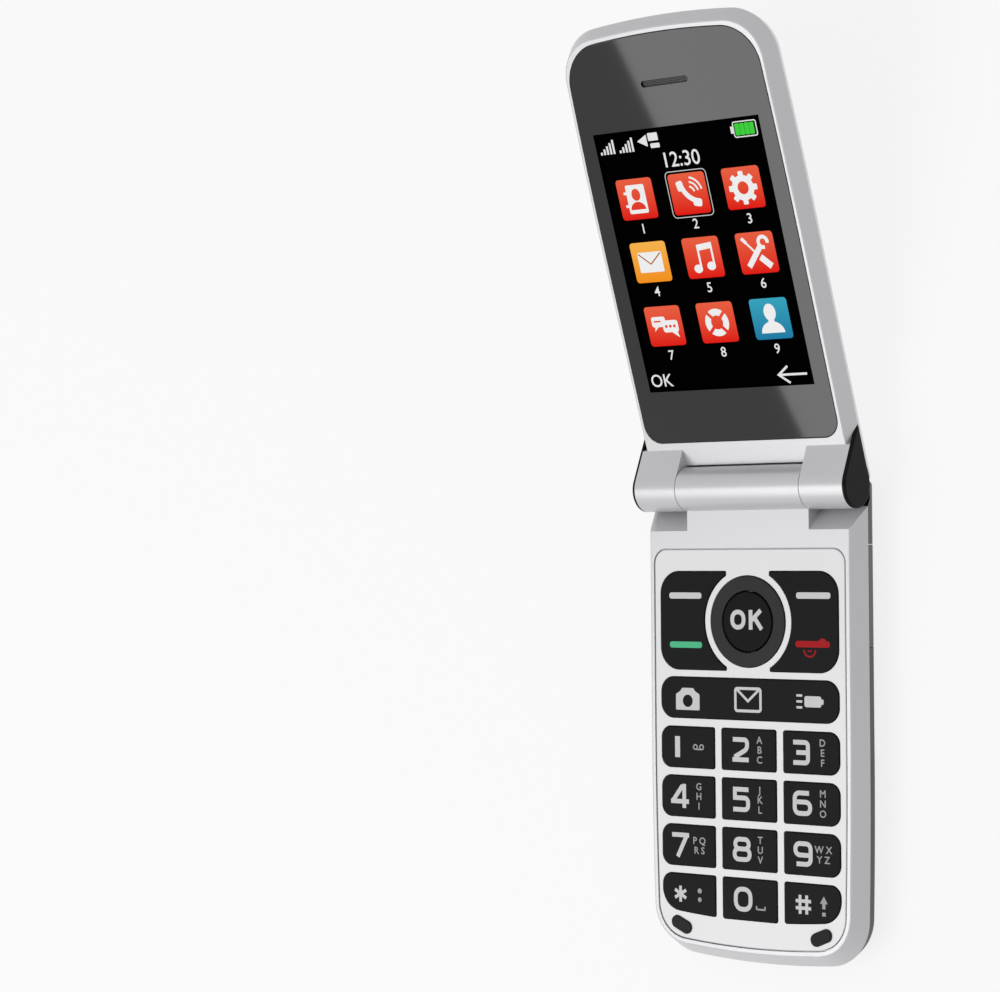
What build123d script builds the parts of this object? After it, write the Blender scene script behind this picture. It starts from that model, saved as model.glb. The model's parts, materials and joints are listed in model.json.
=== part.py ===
from build123d import *
import os
from math import acos, atan2, cos, degrees, hypot, radians, sin, tan

# Clamshell phone, open. Millimetres. The origin is the centre of the flat back of the base,
# +X to the right, +Y towards the hinge, +Z out of the keypad.

# ---------------------------------------------------------------- driving sizes
# case
CASE_W = 56.0  # width at the seams of base and lid
CHIN = 9.34  # end of the key field to the far end of the base
BASE_NEAR = 1.4  # how far the base reaches behind the hinge axis
BASE_T = 10.5  # flat back to keypad face
SEAM_Z = 6.1  # height of the seam between front and rear half of the base
RIM_IN_SIDE = 1.8  # face rim lies this far inside the seam, at the sides
RIM_IN_END = 2.5  # and at the far end
CORNER_R = 10.5  # far corners at the seam
SIDE_BOW = 0.8  # the sides draw in by this much towards the far end
BOW_LEN = 46.0  # over this length
END_R = 190.0  # radius of the arched far end
BACK_TAPER = 18.0  # draft of the rear half, degrees
BACK_R = 5.0  # rounding of the back's edges
RIM_R = 0.4  # rounding of the face rims
WALL = 1.0  # thickness of the back covers
FIT = 0.1  # clearance between fixed pieces
RUN = 0.15  # clearance between a moving piece and its neighbour

# hinge
BARREL_R = 4.85  # radius of the hinge barrel and of the lid's ears
HINGE_DROP = 0.7  # hinge axis lies this far under the keypad face
EAR_IN_SIDE = 0.75  # outer end of each ear inside the seam
EAR_W = 10.9  # width of each ear
EAR_GAP = 0.15  # end play between barrel and ear
CAP_T = 0.75  # thickness of the side caps
CAP_R = 0.4
SWEEP = 0.35  # clearance around the barrel and the ears
SLOPE_ROOM = 0.8  # clearance under the ears' slope when closed
HINGE_BORE_R = 3.1  # bore along the barrel and the ears
OPEN_ANGLE = 160.4  # lid opening, degrees

# lid
LID_OVERHANG = 0.1  # the lid reaches this far past the base
LID_GAP = 0.6  # air between keypad face and lens when closed
LID_FRAME_T = 3.25  # lens face to the lid's seam
LID_COVER_T = 3.55  # seam to the outer face
LID_RIM_IN = 1.9  # rim inside the seam
LID_TAPER = 25.0  # draft of the outer cover, degrees
LID_R = 3.0  # rounding of the outer cover
LID_WALL = 1.1  # thickness of the outer cover
COVER_BACK = 0.5  # the outer cover reaches this far behind the axis
EAR_SLOPE_S = 8.6  # where the ears' slope leaves the lens face
CAP_TIP_S = 12.0  # pointed end of the side caps

# lens and screen
LENS_RIM = 0.75  # silver rim around the lens
LENS_T = 1.0
LENS_NEAR = 10.25  # hinge axis to the lens
LENS_NEAR_R = 4.0
LENS_FAR_IN = 0.3  # further in at the far end
LENS_CORNER_R = 9.2
SCREEN_W = 43.2  # visible screen, a 2.8 inch 3:4 panel
SCREEN_L = 57.6
SCREEN_NEAR = 21.93  # hinge axis to the screen
PANEL_BORDER = 1.6  # panel glass around the visible screen
PANEL_TAIL = 3.4  # panel glass beyond the screen on the hinge side
PANEL_T = 1.7
TRAY_T = 0.5  # metal tray around and behind the panel
SLOT_SHIFT = 1.4  # earpiece slot, nearer than midway from the panel to the lens's end
SLOT_L = 12.2
SLOT_W = 1.4

# keypad
PLATE_NEAR = 13.2  # hinge axis to the keypad plate
PLATE_IN = 1.25  # plate inside the face rim
PLATE_T = 1.1
PLATE_NEAR_R = 3.0
GROOVE = 0.3  # groove around the plate
LEDGE = 0.8  # seat of the plate on the frame
LEDGE_T = 0.7
FIELD_IN = 2.7  # field of keys inside the face rim
FIELD_R = 5.0  # far corners of the field
KEY_PITCH = 10.67  # row pitch
KEY_H = 9.15  # key height
ROW_GAP = 1.65  # function bar to the first digit row
COLUMN_WEB = 1.6  # plate between columns
KEY_OUTER_R = 2.6
KEY_INNER_R = 0.6
BAR_GAP = 1.4  # wing keys to the function bar
BAR_R = 3.4
WING_RISE = 10.9  # wing keys from the middle of the ring towards the hinge
WING_FALL = 10.7  # and away from it
WING_TIP_X = 5.6  # inner ends of the wing keys
WING_R = 5.0
WING_TIP_R = 0.4
WING_RING_R = 11.3  # inner curve of the wing keys
NAV_D = 28.7  # hinge axis to the middle of the ring
NAV_R = 9.95
OK_R = 6.5
KEY_PROUD = 0.2
KEY_TRAVEL = 0.25
KEY_EDGE_R = 0.25
FLANGE = 0.35  # flange of a key around its opening
FLANGE_T = 0.7
FLANGE_PLAY = 0.15
ROCKER_TAB = 3.0  # half length of the flange tabs of the rocking keys
RING_ROOM = 0.2  # more play over the ring's flange, which rocks all round
PAD_L = 5.6  # rubber pads
PAD_W = 2.9
PAD_IN = 9.7  # inside the seam
PAD_DOWN = 2.0  # below the key field
PAD_TURN = 23.0  # degrees
PAD_PROUD = 0.45

# boards and mats inside the base
BOARD_T = 0.8
DOME_T = 0.2
MAT_T = 0.8
FLOOR_T = 0.6  # wall between the battery bay and the board
BOARD_IN = 0.8  # board inside the frame's cavity
BOARD_RISE = 3.8  # board beyond the tops of the wing keys
BOARD_END = 7.0  # board to the far end of the base
BOARD_HOLE_R = 0.8
BOARD_HOLE_IN = 3.0
BOARD_HOLE_PITCH = 16.0

# back
COVER_NEAR = 34.0  # hinge axis to the edge of the battery cover
BLACK_FAR = 12.3  # hinge axis to the edge of the black camera cover
BAY_WALL = 7.0  # battery bay inside the seam
BAY_NEAR = 37.0
BAY_END = 15.2  # battery bay to the far end of the base
BATTERY_T = 3.3
CAMERA_X = 0.0
CAMERA_D = 8.0
CAMERA_S = 7.0  # square camera module
WINDOW_R = 2.9
FLASH_X = 8.5
SPEAKER_IN = 10.5  # inside the side of the battery bay
SPEAKER_OFF = 4.5  # battery bay to the middle of the loudspeaker
SPEAKER_L = 15.0
SPEAKER_W = 7.0
GRILLE_PITCH = 2.4
GRILLE_W = 0.9
GRILLE_L = 5.0
MOTOR_IN = 9.0  # inside the side of the battery bay
MOTOR_R = 3.8
MOTOR_T = 2.7
USB_IN = 0.9  # mouth of the socket inside the seam
USB_D = 24.0
USB_L = 5.4
USB_W = 7.6
USB_H = 2.6
USB_TONGUE = 4.2
SHIELD_X = 5.0
SHIELD_D = 23.5
SHIELD_L = 26.0
SHIELD_W = 14.0
SHIELD_H = 2.4
SHEET_T = 0.3  # sheet metal of the shield, the sockets and the holders
POCKET_Z = 1.2  # pocket in the back housing under the board's near end
POCKET_FAR = 32.5
POCKET_WALL = 6.0
CONTACT_L = 11.0
CONTACT_D = 2.6
CONTACT_OUT = 0.9
SIM_X = -6.0
SIM_D = 48.0
SIM_L = 22.0
SIM_W = 16.0
SIM_T = 0.7
SIM_BORDER = 3.0
MIC_OFF = 1.4  # microphone below the key field
MIC_R = 0.9
MIC_T = 1.0
ANTENNA_L = 13.0
ANTENNA_W = 2.0
WINDOW_Z = 0.15
WINDOW_T = 0.6
CAMERA_Z = 1.25
FLASH_S = 3.0
FLASH_TOP = 2.6
SCREW_R = 0.8
SCREW_IN = 8.5  # screws at the hinge end, inside the seam
SCREW_NEAR = 10.6
SCREW_FAR_X = 9.0  # screws at the far end
SCREW_END = 5.0
SCREW_HEAD_R = 1.4
SCREW_HEAD_T = 0.8
SCREW_HEAD_Z = 1.8
NUB_T = 0.1
NUB_R = 1.8
BAR_PAD_IN = 2.3  # silicone pad under the function bar, inside its ends
BAR_PAD_W = 7.1
ACTUATOR_T = 0.85  # height of the silicone pads under the ring and the function bar
ACTUATOR_GAP = 0.25

# hinge insides
HINGE_FIT = 0.05  # running clearance of the round parts in their bores
CAN_L = 14.2
CAN_BORE_L = 6.0
SHAFT_R = 1.5
SHAFT_HEAD_L = 6.5
SLEEVE_IN_EAR = 3.25
SLEEVE_IN_BARREL = 6.2
SLEEVE_R = 2.2
FLEX_W = 4.0
FLEX_T = 0.3
FLEX_Z = 8.0
FLEX_END = 1.6  # the flex ends in the barrel, this far from the axis
FLEX_PLUG = 2.0  # length of its plug on the board
ROLL_R = 1.6
ROLL_SIDE = 2.2  # the rolled flex ends this far inside the ear
ROLL_IN_BARREL = 10.0

# lid insides
LID_POCKET_NEAR = 7.0
LID_SKIN = 0.6  # wall behind the lens seat
TRAIL_W = 4.0  # strip of the display flex from the ear to the panel
TRAIL_DROP = 3.2  # under the hinge axis
EARPIECE_L = 15.0
EARPIECE_W = 7.0
EARPIECE_T = 2.0
MAGNET_X = 12.0
MAGNET_END = 5.9
LID_BOARD_T = 0.6
LID_BOARD_IN = 3.2  # inside the panel's sides
LID_BOARD_NEAR = 8.0
LID_BOARD_FAR = 60.0
MAGNET_L = 5.0
MAGNET_W = 2.5
MAGNET_T = 1.6
TRAIL_S = 2.9
MESH_IN = 0.25
PILLAR_IN = 4.0
PILLAR_S = 12.5

# ---------------------------------------------------------------- worked out
HALF_W = CASE_W / 2
RIM_HALF = HALF_W - RIM_IN_SIDE
WING_TOP = NAV_D - WING_RISE
BOARD_NEAR = WING_TOP - BOARD_RISE
WING_FAR = NAV_D + WING_FALL
BAR_TOP = WING_FAR + BAR_GAP
ROW_TOP = BAR_TOP + KEY_H + ROW_GAP
FIELD_FAR = ROW_TOP + 3 * KEY_PITCH + KEY_H + FIT
FIELD_HALF = RIM_HALF - FIELD_IN
MIDDLE_HALF = (FIELD_HALF - COLUMN_WEB) / 3
PAD_D = FIELD_FAR + PAD_DOWN
PAD_X = HALF_W - PAD_IN
BASE_FAR = FIELD_FAR + CHIN
HINGE_Y = (BASE_FAR - BASE_NEAR) / 2
HINGE_Z = BASE_T - HINGE_DROP
AXIS = Vector(0, HINGE_Y, HINGE_Z)
TURN = radians(OPEN_ANGLE)
ALONG = Vector(0, -cos(TURN), sin(TURN))  # along the lid, away from the hinge
OUT = Vector(0, -sin(TURN), -cos(TURN))  # out of the lens

RIM_FAR = BASE_FAR - RIM_IN_END
RIM_CORNER = CORNER_R - RIM_IN_SIDE
PLATE_Z = BASE_T - PLATE_T
LEDGE_Z = PLATE_Z - LEDGE_T
BOARD_Z = SEAM_Z + FIT / 2
DOME_Z = BOARD_Z + BOARD_T
MAT_Z = DOME_Z + DOME_T
FLANGE_TOP = PLATE_Z - FLANGE_PLAY
FLANGE_Z = FLANGE_TOP - FLANGE_T
KEY_TOP = BASE_T + KEY_PROUD
FLOOR_Z = SEAM_Z - FIT / 2 - FLOOR_T
ACTUATOR_Z = FLANGE_Z - ACTUATOR_GAP - ACTUATOR_T
USB_Z = SEAM_Z - FIT / 2 - USB_H
USB_X = -(HALF_W - USB_IN - USB_L / 2)
BOARD_HALF = RIM_HALF - WALL - BOARD_IN
BOARD_FAR = BASE_FAR - BOARD_END
BAY_HALF = HALF_W - BAY_WALL
MOTOR_X = MOTOR_IN - BAY_HALF
SPEAKER_X = BAY_HALF - SPEAKER_IN
BAY_FAR = BASE_FAR - BAY_END
POCKET_HALF = HALF_W - POCKET_WALL
SPEAKER_D = BAY_FAR + SPEAKER_OFF
MIC_D = FIELD_FAR + MIC_OFF
SCREW_X = HALF_W - SCREW_IN
SCREW_FAR = BASE_FAR - SCREW_END
SCREW_SPOTS = [
    (-SCREW_X, SCREW_NEAR),
    (SCREW_X, SCREW_NEAR),
    (-SCREW_FAR_X, SCREW_FAR),
    (SCREW_FAR_X, SCREW_FAR),
]
SCREW_TOP = LEDGE_Z - LEDGE_T / 2
BAR_PAD_L = 2 * (FIELD_HALF - BAR_PAD_IN)

# along the hinge
EAR_SIDE = HALF_W - EAR_IN_SIDE
EAR_IN = EAR_SIDE - EAR_W
BARREL_HALF = EAR_IN - EAR_GAP
CAN_X = BARREL_HALF - CAN_L
SLEEVE_FROM = -(EAR_IN + SLEEVE_IN_EAR)
SLEEVE_TO = -(BARREL_HALF - SLEEVE_IN_BARREL)
ROLL_FROM = -(EAR_SIDE - ROLL_SIDE)
ROLL_TO = -(BARREL_HALF - ROLL_IN_BARREL)
FLEX_X = (CAN_X + ROLL_TO) / 2
TRAIL_X = -(EAR_IN + EAR_SIDE) / 2

# the lid
LID_FAR = BASE_FAR + LID_OVERHANG

LENS_FACE = -(HINGE_DROP + LID_GAP)  # lens face, measured out of the lid from the axis
LID_SEAM = LENS_FACE - LID_FRAME_T
LID_BACK = LID_SEAM - LID_COVER_T
LID_INNER = LID_BACK + LID_WALL
LENS_SEAT = LENS_FACE - LENS_T
# the ears' slope is the tangent from its edge on the lens face to the barrel's circle
SLOPE_ANGLE = acos(BARREL_R / hypot(EAR_SLOPE_S, LENS_FACE)) + atan2(LENS_FACE, EAR_SLOPE_S)
LID_NEAR = ((BARREL_R + SWEEP) ** 2 - LENS_FACE**2) ** 0.5
PANEL_TOP = LENS_SEAT - FIT
PANEL_BOTTOM = PANEL_TOP - PANEL_T
PANEL_NEAR = SCREEN_NEAR - PANEL_TAIL
PANEL_FAR = SCREEN_NEAR + SCREEN_L + PANEL_BORDER
PANEL_HALF = SCREEN_W / 2 + PANEL_BORDER
TRAIL_FAR = PANEL_NEAR - TRAY_T - FIT
LENS_INSET = LID_RIM_IN + LENS_RIM
LENS_FAR = LID_FAR - LENS_INSET - LENS_FAR_IN
SLOT_S = (PANEL_FAR + LENS_FAR) / 2 - SLOT_SHIFT
MAGNET_S = LID_FAR - MAGNET_END
TRAIL_N = -TRAIL_DROP
LID_BOARD_TOP = LID_SEAM - FIT
LID_BOARD_HALF = PANEL_HALF - LID_BOARD_IN
PILLAR_X = LID_BOARD_HALF - PILLAR_IN
SLOPE_S = cos(SLOPE_ANGLE)
SLOPE_N = sin(SLOPE_ANGLE)


def base_level(z):
    """Plane across the base at height z; its origin lies under the hinge axis."""
    return Plane(origin=(0, HINGE_Y, z))


def lid_level(out):
    """Plane along the lid; its origin lies on the hinge axis, shifted out of the lens."""
    return Plane(origin=AXIS + OUT * out, x_dir=(1, 0, 0), z_dir=OUT)


def base_section(x):
    """Upright plane across the hinge, first axis towards +Y, second axis up."""
    return Plane(origin=(x, HINGE_Y, HINGE_Z), x_dir=(0, 1, 0), z_dir=(1, 0, 0))


def lid_section(x):
    """Upright plane across the hinge, first axis along the lid, second out of the lens."""
    return Plane(origin=(x, HINGE_Y, HINGE_Z), x_dir=ALONG, z_dir=(1, 0, 0))


def base_block(x, d, z, width, length, height, mode=Mode.ADD):
    """Box standing on height z, at distance d from the hinge axis."""
    with Locations((x, HINGE_Y - d, z)):
        Box(width, length, height, align=(Align.CENTER, Align.CENTER, Align.MIN), mode=mode)


def lid_block(x, s, out, width, length, height, mode=Mode.ADD):
    """Box in the lid, from level out towards the lens, at distance s from the hinge axis."""
    with Locations(lid_level(out)):
        with Locations((x, s, 0)):
            Box(width, length, height, align=(Align.CENTER, Align.CENTER, Align.MIN), mode=mode)


def base_disc(x, d, z, radius, height, mode=Mode.ADD):
    """Upright cylinder standing on height z."""
    with Locations((x, HINGE_Y - d, z)):
        Cylinder(radius, height, align=(Align.CENTER, Align.CENTER, Align.MIN), mode=mode)


def hinge_rod(x_from, x_to, radius, mode=Mode.ADD):
    """Cylinder on the hinge axis between two x values."""
    with BuildSketch(base_section(x_from)) as round_section:
        Circle(radius)
    extrude(round_section.sketch, amount=x_to - x_from, mode=mode)


def case_outline(half_w, near, far, corner_r, toward, near_r=0.0):
    """Case shape: straight near end, gently bowed sides and an arched far end."""
    side_x = half_w - SIDE_BOW
    corner_y = toward * (far - side_x**2 / (2 * END_R))
    bow_y = toward * (far - BOW_LEN)
    near_y = toward * near
    with BuildSketch() as outline:
        with BuildLine():
            Line((-half_w, near_y), (half_w, near_y))
            Line((half_w, near_y), (half_w, bow_y))
            TangentArc((half_w, bow_y), (side_x, corner_y), tangent=(0, toward))
            ThreePointArc((side_x, corner_y), (0, toward * far), (-side_x, corner_y))
            TangentArc((-half_w, bow_y), (-side_x, corner_y), tangent=(0, toward))
            Line((-half_w, bow_y), (-half_w, near_y))
        make_face()
        fillet(outline.vertices().filter_by(lambda v: abs(v.Y - corner_y) < 0.01), corner_r)
        if near_r > 0:
            fillet(outline.vertices().filter_by(lambda v: abs(v.Y - near_y) < 0.01), near_r)
    return outline.sketch


# ---------------------------------------------------------------- shared outlines of the base
def plate_outline(grow, near_r):
    """Outline of the keypad plate, grown for its recess or shrunk for its ledge."""
    inside = PLATE_IN - grow
    return case_outline(
        RIM_HALF - inside, PLATE_NEAR - grow, RIM_FAR - inside, RIM_CORNER - inside, -1, near_r
    )


def field_outline(grow):
    """Field of the keys, grown for the ledge: straight sides and an arched far end."""
    half = FIELD_HALF + grow
    far = FIELD_FAR + grow
    corner_y = half**2 / (2 * END_R) - far
    near_y = -(PLATE_NEAR + LEDGE)
    with BuildSketch() as outline:
        with BuildLine():
            Polyline((-half, corner_y), (-half, near_y), (half, near_y), (half, corner_y))
            ThreePointArc((half, corner_y), (0, -far), (-half, corner_y))
        make_face()
        fillet(outline.vertices().filter_by(lambda v: abs(v.Y - corner_y) < 0.01), FIELD_R)
    return outline.sketch


def key_cell(x_from, x_to, d_from, d_to, outer_r):
    """Opening of one key: outer corners rounder than inner ones, the last row cut by the field."""
    outer_x = max(abs(x_from), abs(x_to))
    is_outer = outer_x > FIELD_HALF - 1
    with BuildSketch() as cell:
        with Locations(((x_from + x_to) / 2, -(d_from + d_to) / 2)):
            Rectangle(x_to - x_from, d_to - d_from)
        if d_to > FIELD_FAR - KEY_INNER_R:
            add(field_outline(0), mode=Mode.INTERSECT)
        outer_ones = cell.vertices().filter_by(lambda v: is_outer and abs(abs(v.X) - outer_x) < 0.01)
        round_ones = outer_ones.filter_by(lambda v: min(abs(v.Y + d_from), abs(v.Y + d_to)) < 0.01)
        if round_ones:
            fillet(round_ones, outer_r)
        plain_ones = cell.vertices().filter_by(
            lambda v: min(abs(v.X - x_from), abs(v.X - x_to)) < 0.01
            and not (is_outer and abs(abs(v.X) - outer_x) < 0.01)
        )
        if plain_ones:
            fillet(plain_ones, KEY_INNER_R)
    return cell.sketch


def wing_cell(side):
    """Opening of a wing key, cut concentric with the ring."""
    with BuildSketch() as cell:
        with Locations((side * (WING_TIP_X + FIELD_HALF) / 2, -(WING_TOP + WING_FAR) / 2)):
            Rectangle(FIELD_HALF - WING_TIP_X, WING_FAR - WING_TOP)
        fillet(cell.vertices().filter_by(lambda v: abs(v.X) > FIELD_HALF - 0.01), WING_R)
        with Locations((0, -NAV_D)):
            Circle(WING_RING_R, mode=Mode.SUBTRACT)
        fillet(cell.vertices().filter_by(lambda v: abs(v.X) < WING_RING_R - 2), WING_TIP_R)
    return cell.sketch


DIGIT_NAMES = ["1", "2", "3", "4", "5", "6", "7", "8", "9", "star", "0", "hash"]
COLUMNS = [
    (-FIELD_HALF, -MIDDLE_HALF - COLUMN_WEB),
    (-MIDDLE_HALF, MIDDLE_HALF),
    (MIDDLE_HALF + COLUMN_WEB, FIELD_HALF),
]


def digit_cells():
    """Openings of the twelve digit keys, by name."""
    cells = {}
    for index, name in enumerate(DIGIT_NAMES):
        x_from, x_to = COLUMNS[index % 3]
        d_from = ROW_TOP + (index // 3) * KEY_PITCH
        cells[name] = key_cell(x_from, x_to, d_from, d_from + KEY_H, KEY_OUTER_R)
    return cells


CELLS = digit_cells()
LEFT_WING = wing_cell(-1)
RIGHT_WING = wing_cell(1)
BAR_CELL = key_cell(-FIELD_HALF, FIELD_HALF, BAR_TOP, BAR_TOP + KEY_H, BAR_R)


def ear_notch(mode=Mode.SUBTRACT):
    """Room for the lid's ears in the hinge end of the base, on both sides."""
    reach = BARREL_R + SLOPE_ROOM
    top = HINGE_DROP + 1
    floor = -(BARREL_R + SWEEP)
    for side in (-1, 1):
        with BuildSketch(base_section(side * (BARREL_HALF - SWEEP + EAR_GAP))) as notch:
            Polygon(
                (-(reach + SLOPE_N * top) / SLOPE_S, top),
                (-(reach + SLOPE_N * floor) / SLOPE_S, floor),
                (BASE_NEAR + 2, floor),
                (BASE_NEAR + 2, top),
                align=None,
            )
        extrude(notch.sketch, amount=side * CASE_W, mode=mode)


def back_form(inset):
    """Outer form of the rear half of the base, drawn in by inset all over."""
    outline = case_outline(
        HALF_W - inset, inset - BASE_NEAR, BASE_FAR - inset, CORNER_R - inset, -1
    )
    with BuildPart() as form:
        with BuildSketch(base_level(SEAM_Z)):
            add(outline)
        extrude(amount=inset - SEAM_Z, taper=BACK_TAPER)
        fillet(form.faces().sort_by(Axis.Z)[0].edges(), BACK_R - inset)
    return form.part


def slab(d_from, d_to):
    """Everything between two distances from the hinge axis."""
    with BuildPart() as block:
        base_block(0, (d_from + d_to) / 2, -1, 2 * CASE_W, d_to - d_from, BASE_T + 2)
    return block.part


# ================================================================ base, outside
seam_outline = case_outline(HALF_W, 0, BASE_FAR, CORNER_R, -1)
rim_outline = case_outline(RIM_HALF, 0, RIM_FAR, RIM_CORNER, -1)
cavity_outline = case_outline(
    RIM_HALF - WALL, BOARD_NEAR - 2 * FIT, RIM_FAR - WALL, RIM_CORNER - WALL, -1
)
ledge_outline = field_outline(FLANGE + FLANGE_PLAY)

with BuildPart() as base_frame:
    with BuildSketch(base_level(SEAM_Z)):
        add(seam_outline)
    with BuildSketch(base_level(BASE_T)):
        add(rim_outline)
    loft(ruled=True)
    fillet(base_frame.faces().sort_by(Axis.Z)[-1].edges().sort_by(Axis.Y)[:-1], RIM_R)
    with BuildSketch(base_level(SEAM_Z)):
        add(cavity_outline)
    extrude(amount=LEDGE_Z - SEAM_Z, mode=Mode.SUBTRACT)
    with BuildSketch(base_level(LEDGE_Z)):
        add(ledge_outline)
    extrude(amount=BASE_T, mode=Mode.SUBTRACT)
    with BuildSketch(base_level(PLATE_Z)):
        add(plate_outline(GROOVE, PLATE_NEAR_R + GROOVE))
    extrude(amount=BASE_T, mode=Mode.SUBTRACT)
    ear_notch()
    for x, d in SCREW_SPOTS:
        if d > PLATE_NEAR:
            base_disc(x, d, SEAM_Z, 2 * SCREW_R + FIT, LEDGE_Z - SEAM_Z)
        base_disc(x, d, SEAM_Z - 1, SCREW_R, SCREW_TOP - SEAM_Z + 1, Mode.SUBTRACT)
    hinge_rod(-BARREL_HALF, BARREL_HALF, BARREL_R)
    hinge_rod(-BARREL_HALF, BARREL_HALF, HINGE_BORE_R, Mode.SUBTRACT)
    base_block(
        FLEX_X, (BOARD_NEAR + FLEX_END) / 2, FLEX_Z - FIT, FLEX_W + 2 * FIT, BOARD_NEAR - FLEX_END,
        FLEX_T + 2 * FIT, Mode.SUBTRACT,
    )

with BuildPart() as keypad_plate:
    with BuildSketch(base_level(PLATE_Z)):
        add(plate_outline(0, PLATE_NEAR_R))
    extrude(amount=PLATE_T)
    fillet(keypad_plate.faces().sort_by(Axis.Z)[-1].edges(), 2 * FIT)
    with BuildSketch(base_level(PLATE_Z)):
        for cell in CELLS.values():
            add(cell)
        add(LEFT_WING)
        add(RIGHT_WING)
        add(BAR_CELL)
        with Locations((0, -NAV_D)):
            Circle(NAV_R)
        for side in (-1, 1):
            with Locations((side * PAD_X, -PAD_D)):
                SlotOverall(PAD_L, PAD_W, rotation=side * PAD_TURN)
    extrude(amount=PLATE_T, mode=Mode.SUBTRACT)

with BuildPart() as rubber_pads:
    with BuildSketch(base_level(PLATE_Z)):
        for side in (-1, 1):
            with Locations((side * PAD_X, -PAD_D)):
                SlotOverall(PAD_L, PAD_W, rotation=side * PAD_TURN)
    extrude(amount=PLATE_T + PAD_PROUD)
    fillet(rubber_pads.faces().group_by(Axis.Z)[-1].edges(), PAD_PROUD - FIT)

outer_back = back_form(0)
inner_back = back_form(WALL)
housing_back = back_form(WALL + FIT)
hinge_slab = slab(-BASE_NEAR - 1, BLACK_FAR)
middle_slab = slab(BLACK_FAR + FIT, COVER_NEAR - FIT)
cover_slab = slab(COVER_NEAR, BASE_FAR + 1)

with BuildPart() as battery_cover:
    add(outer_back)
    add(inner_back, mode=Mode.SUBTRACT)
    add(cover_slab, mode=Mode.INTERSECT)
    with BuildSketch(base_level(0)):
        with Locations((SPEAKER_X, -SPEAKER_D)):
            with GridLocations(GRILLE_PITCH, 1, 5, 1):
                SlotOverall(GRILLE_L, GRILLE_W, rotation=90)
    extrude(amount=WALL, mode=Mode.SUBTRACT)

with BuildPart() as camera_cover:
    add(outer_back)
    add(inner_back, mode=Mode.SUBTRACT)
    add(hinge_slab, mode=Mode.INTERSECT)
    ear_notch()
    hinge_rod(-CASE_W, CASE_W, BARREL_R + SWEEP, Mode.SUBTRACT)
    base_disc(CAMERA_X, CAMERA_D, -FIT, WINDOW_R + FIT / 2, WINDOW_Z + WINDOW_T + FIT, Mode.SUBTRACT)
    base_disc(CAMERA_X, CAMERA_D, 0, WINDOW_R - WALL, SEAM_Z, Mode.SUBTRACT)
    base_disc(FLASH_X, CAMERA_D, -FIT, FLASH_S / 3, SEAM_Z, Mode.SUBTRACT)

with BuildPart() as rear_housing:
    add(outer_back)
    add(middle_slab, mode=Mode.INTERSECT)
    add(housing_back)
    ear_notch()
    hinge_rod(-CASE_W, CASE_W, BARREL_R + SWEEP, Mode.SUBTRACT)
    base_block(
        0, (BOARD_NEAR + POCKET_FAR) / 2, POCKET_Z, 2 * POCKET_HALF, POCKET_FAR - BOARD_NEAR, SEAM_Z,
        Mode.SUBTRACT,
    )
    base_block(
        0, (BAY_NEAR + BAY_FAR) / 2, 0, 2 * BAY_HALF, BAY_FAR - BAY_NEAR, FLOOR_Z, Mode.SUBTRACT
    )
    base_block(
        SPEAKER_X, SPEAKER_D, 0, SPEAKER_L + 2 * FIT, SPEAKER_W + 2 * FIT, FLOOR_Z, Mode.SUBTRACT
    )
    base_disc(MOTOR_X, SPEAKER_D, 0, MOTOR_R + FIT, FLOOR_Z, Mode.SUBTRACT)
    base_block(
        CAMERA_X, CAMERA_D, 0, CAMERA_S + 2 * FIT, CAMERA_S + 2 * FIT, 2 * SEAM_Z, Mode.SUBTRACT
    )
    base_block(FLASH_X, CAMERA_D, 0, FLASH_S + 2 * FIT, FLASH_S + 2 * FIT, FLASH_TOP + FIT, Mode.SUBTRACT)
    base_block(
        0, BAY_NEAR - CONTACT_D / 2, WALL + FIT, CONTACT_L + 2 * FIT, CONTACT_D + 2 * FIT, SEAM_Z,
        Mode.SUBTRACT,
    )
    base_block(
        USB_X - CASE_W / 4, USB_D, USB_Z - FIT, USB_L + CASE_W / 2, USB_W + 2 * FIT, SEAM_Z,
        Mode.SUBTRACT,
    )
    for x, d in SCREW_SPOTS:
        base_disc(x, d, 0, SCREW_HEAD_R + FIT, SCREW_HEAD_Z + SCREW_HEAD_T, Mode.SUBTRACT)
        base_disc(x, d, 0, SCREW_R + FIT, 2 * SEAM_Z, Mode.SUBTRACT)

# ================================================================ base, inside
board_outline = case_outline(BOARD_HALF, BOARD_NEAR, BOARD_FAR, FIELD_R, -1)
mat_outline = case_outline(
    FIELD_HALF + FLANGE, WING_TOP - FLANGE, FIELD_FAR + FLANGE, FIELD_R, -1
)

with BuildPart() as camera_module:
    base_block(CAMERA_X, CAMERA_D, CAMERA_Z, CAMERA_S, CAMERA_S, SEAM_Z - FIT - CAMERA_Z)
    fillet(camera_module.edges().filter_by(Axis.Z), CAMERA_S / 10)
    base_disc(CAMERA_X, CAMERA_D, WINDOW_Z + WINDOW_T + FIT, WINDOW_R - WALL - FIT, WALL)

with BuildPart() as camera_window:
    base_disc(CAMERA_X, CAMERA_D, WINDOW_Z, WINDOW_R, WINDOW_T)

with BuildPart() as flash_led:
    base_block(FLASH_X, CAMERA_D, WALL + FIT, FLASH_S, FLASH_S, FLASH_TOP - WALL - FIT)
    base_disc(FLASH_X, CAMERA_D, WALL / 2, FLASH_S / 3 - FIT, WALL)

with BuildPart() as main_board:
    with BuildSketch(base_level(BOARD_Z)):
        add(board_outline)
    extrude(amount=BOARD_T)
    with Locations((0, HINGE_Y - BAY_NEAR, BOARD_Z)):
        with GridLocations(2 * (BOARD_HALF - BOARD_HOLE_IN), BOARD_HOLE_PITCH, 2, 2):
            Hole(BOARD_HOLE_R, depth=CASE_W)

with BuildPart() as dome_sheet:
    with BuildSketch(base_level(DOME_Z)):
        add(mat_outline)
    extrude(amount=DOME_T)

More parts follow.
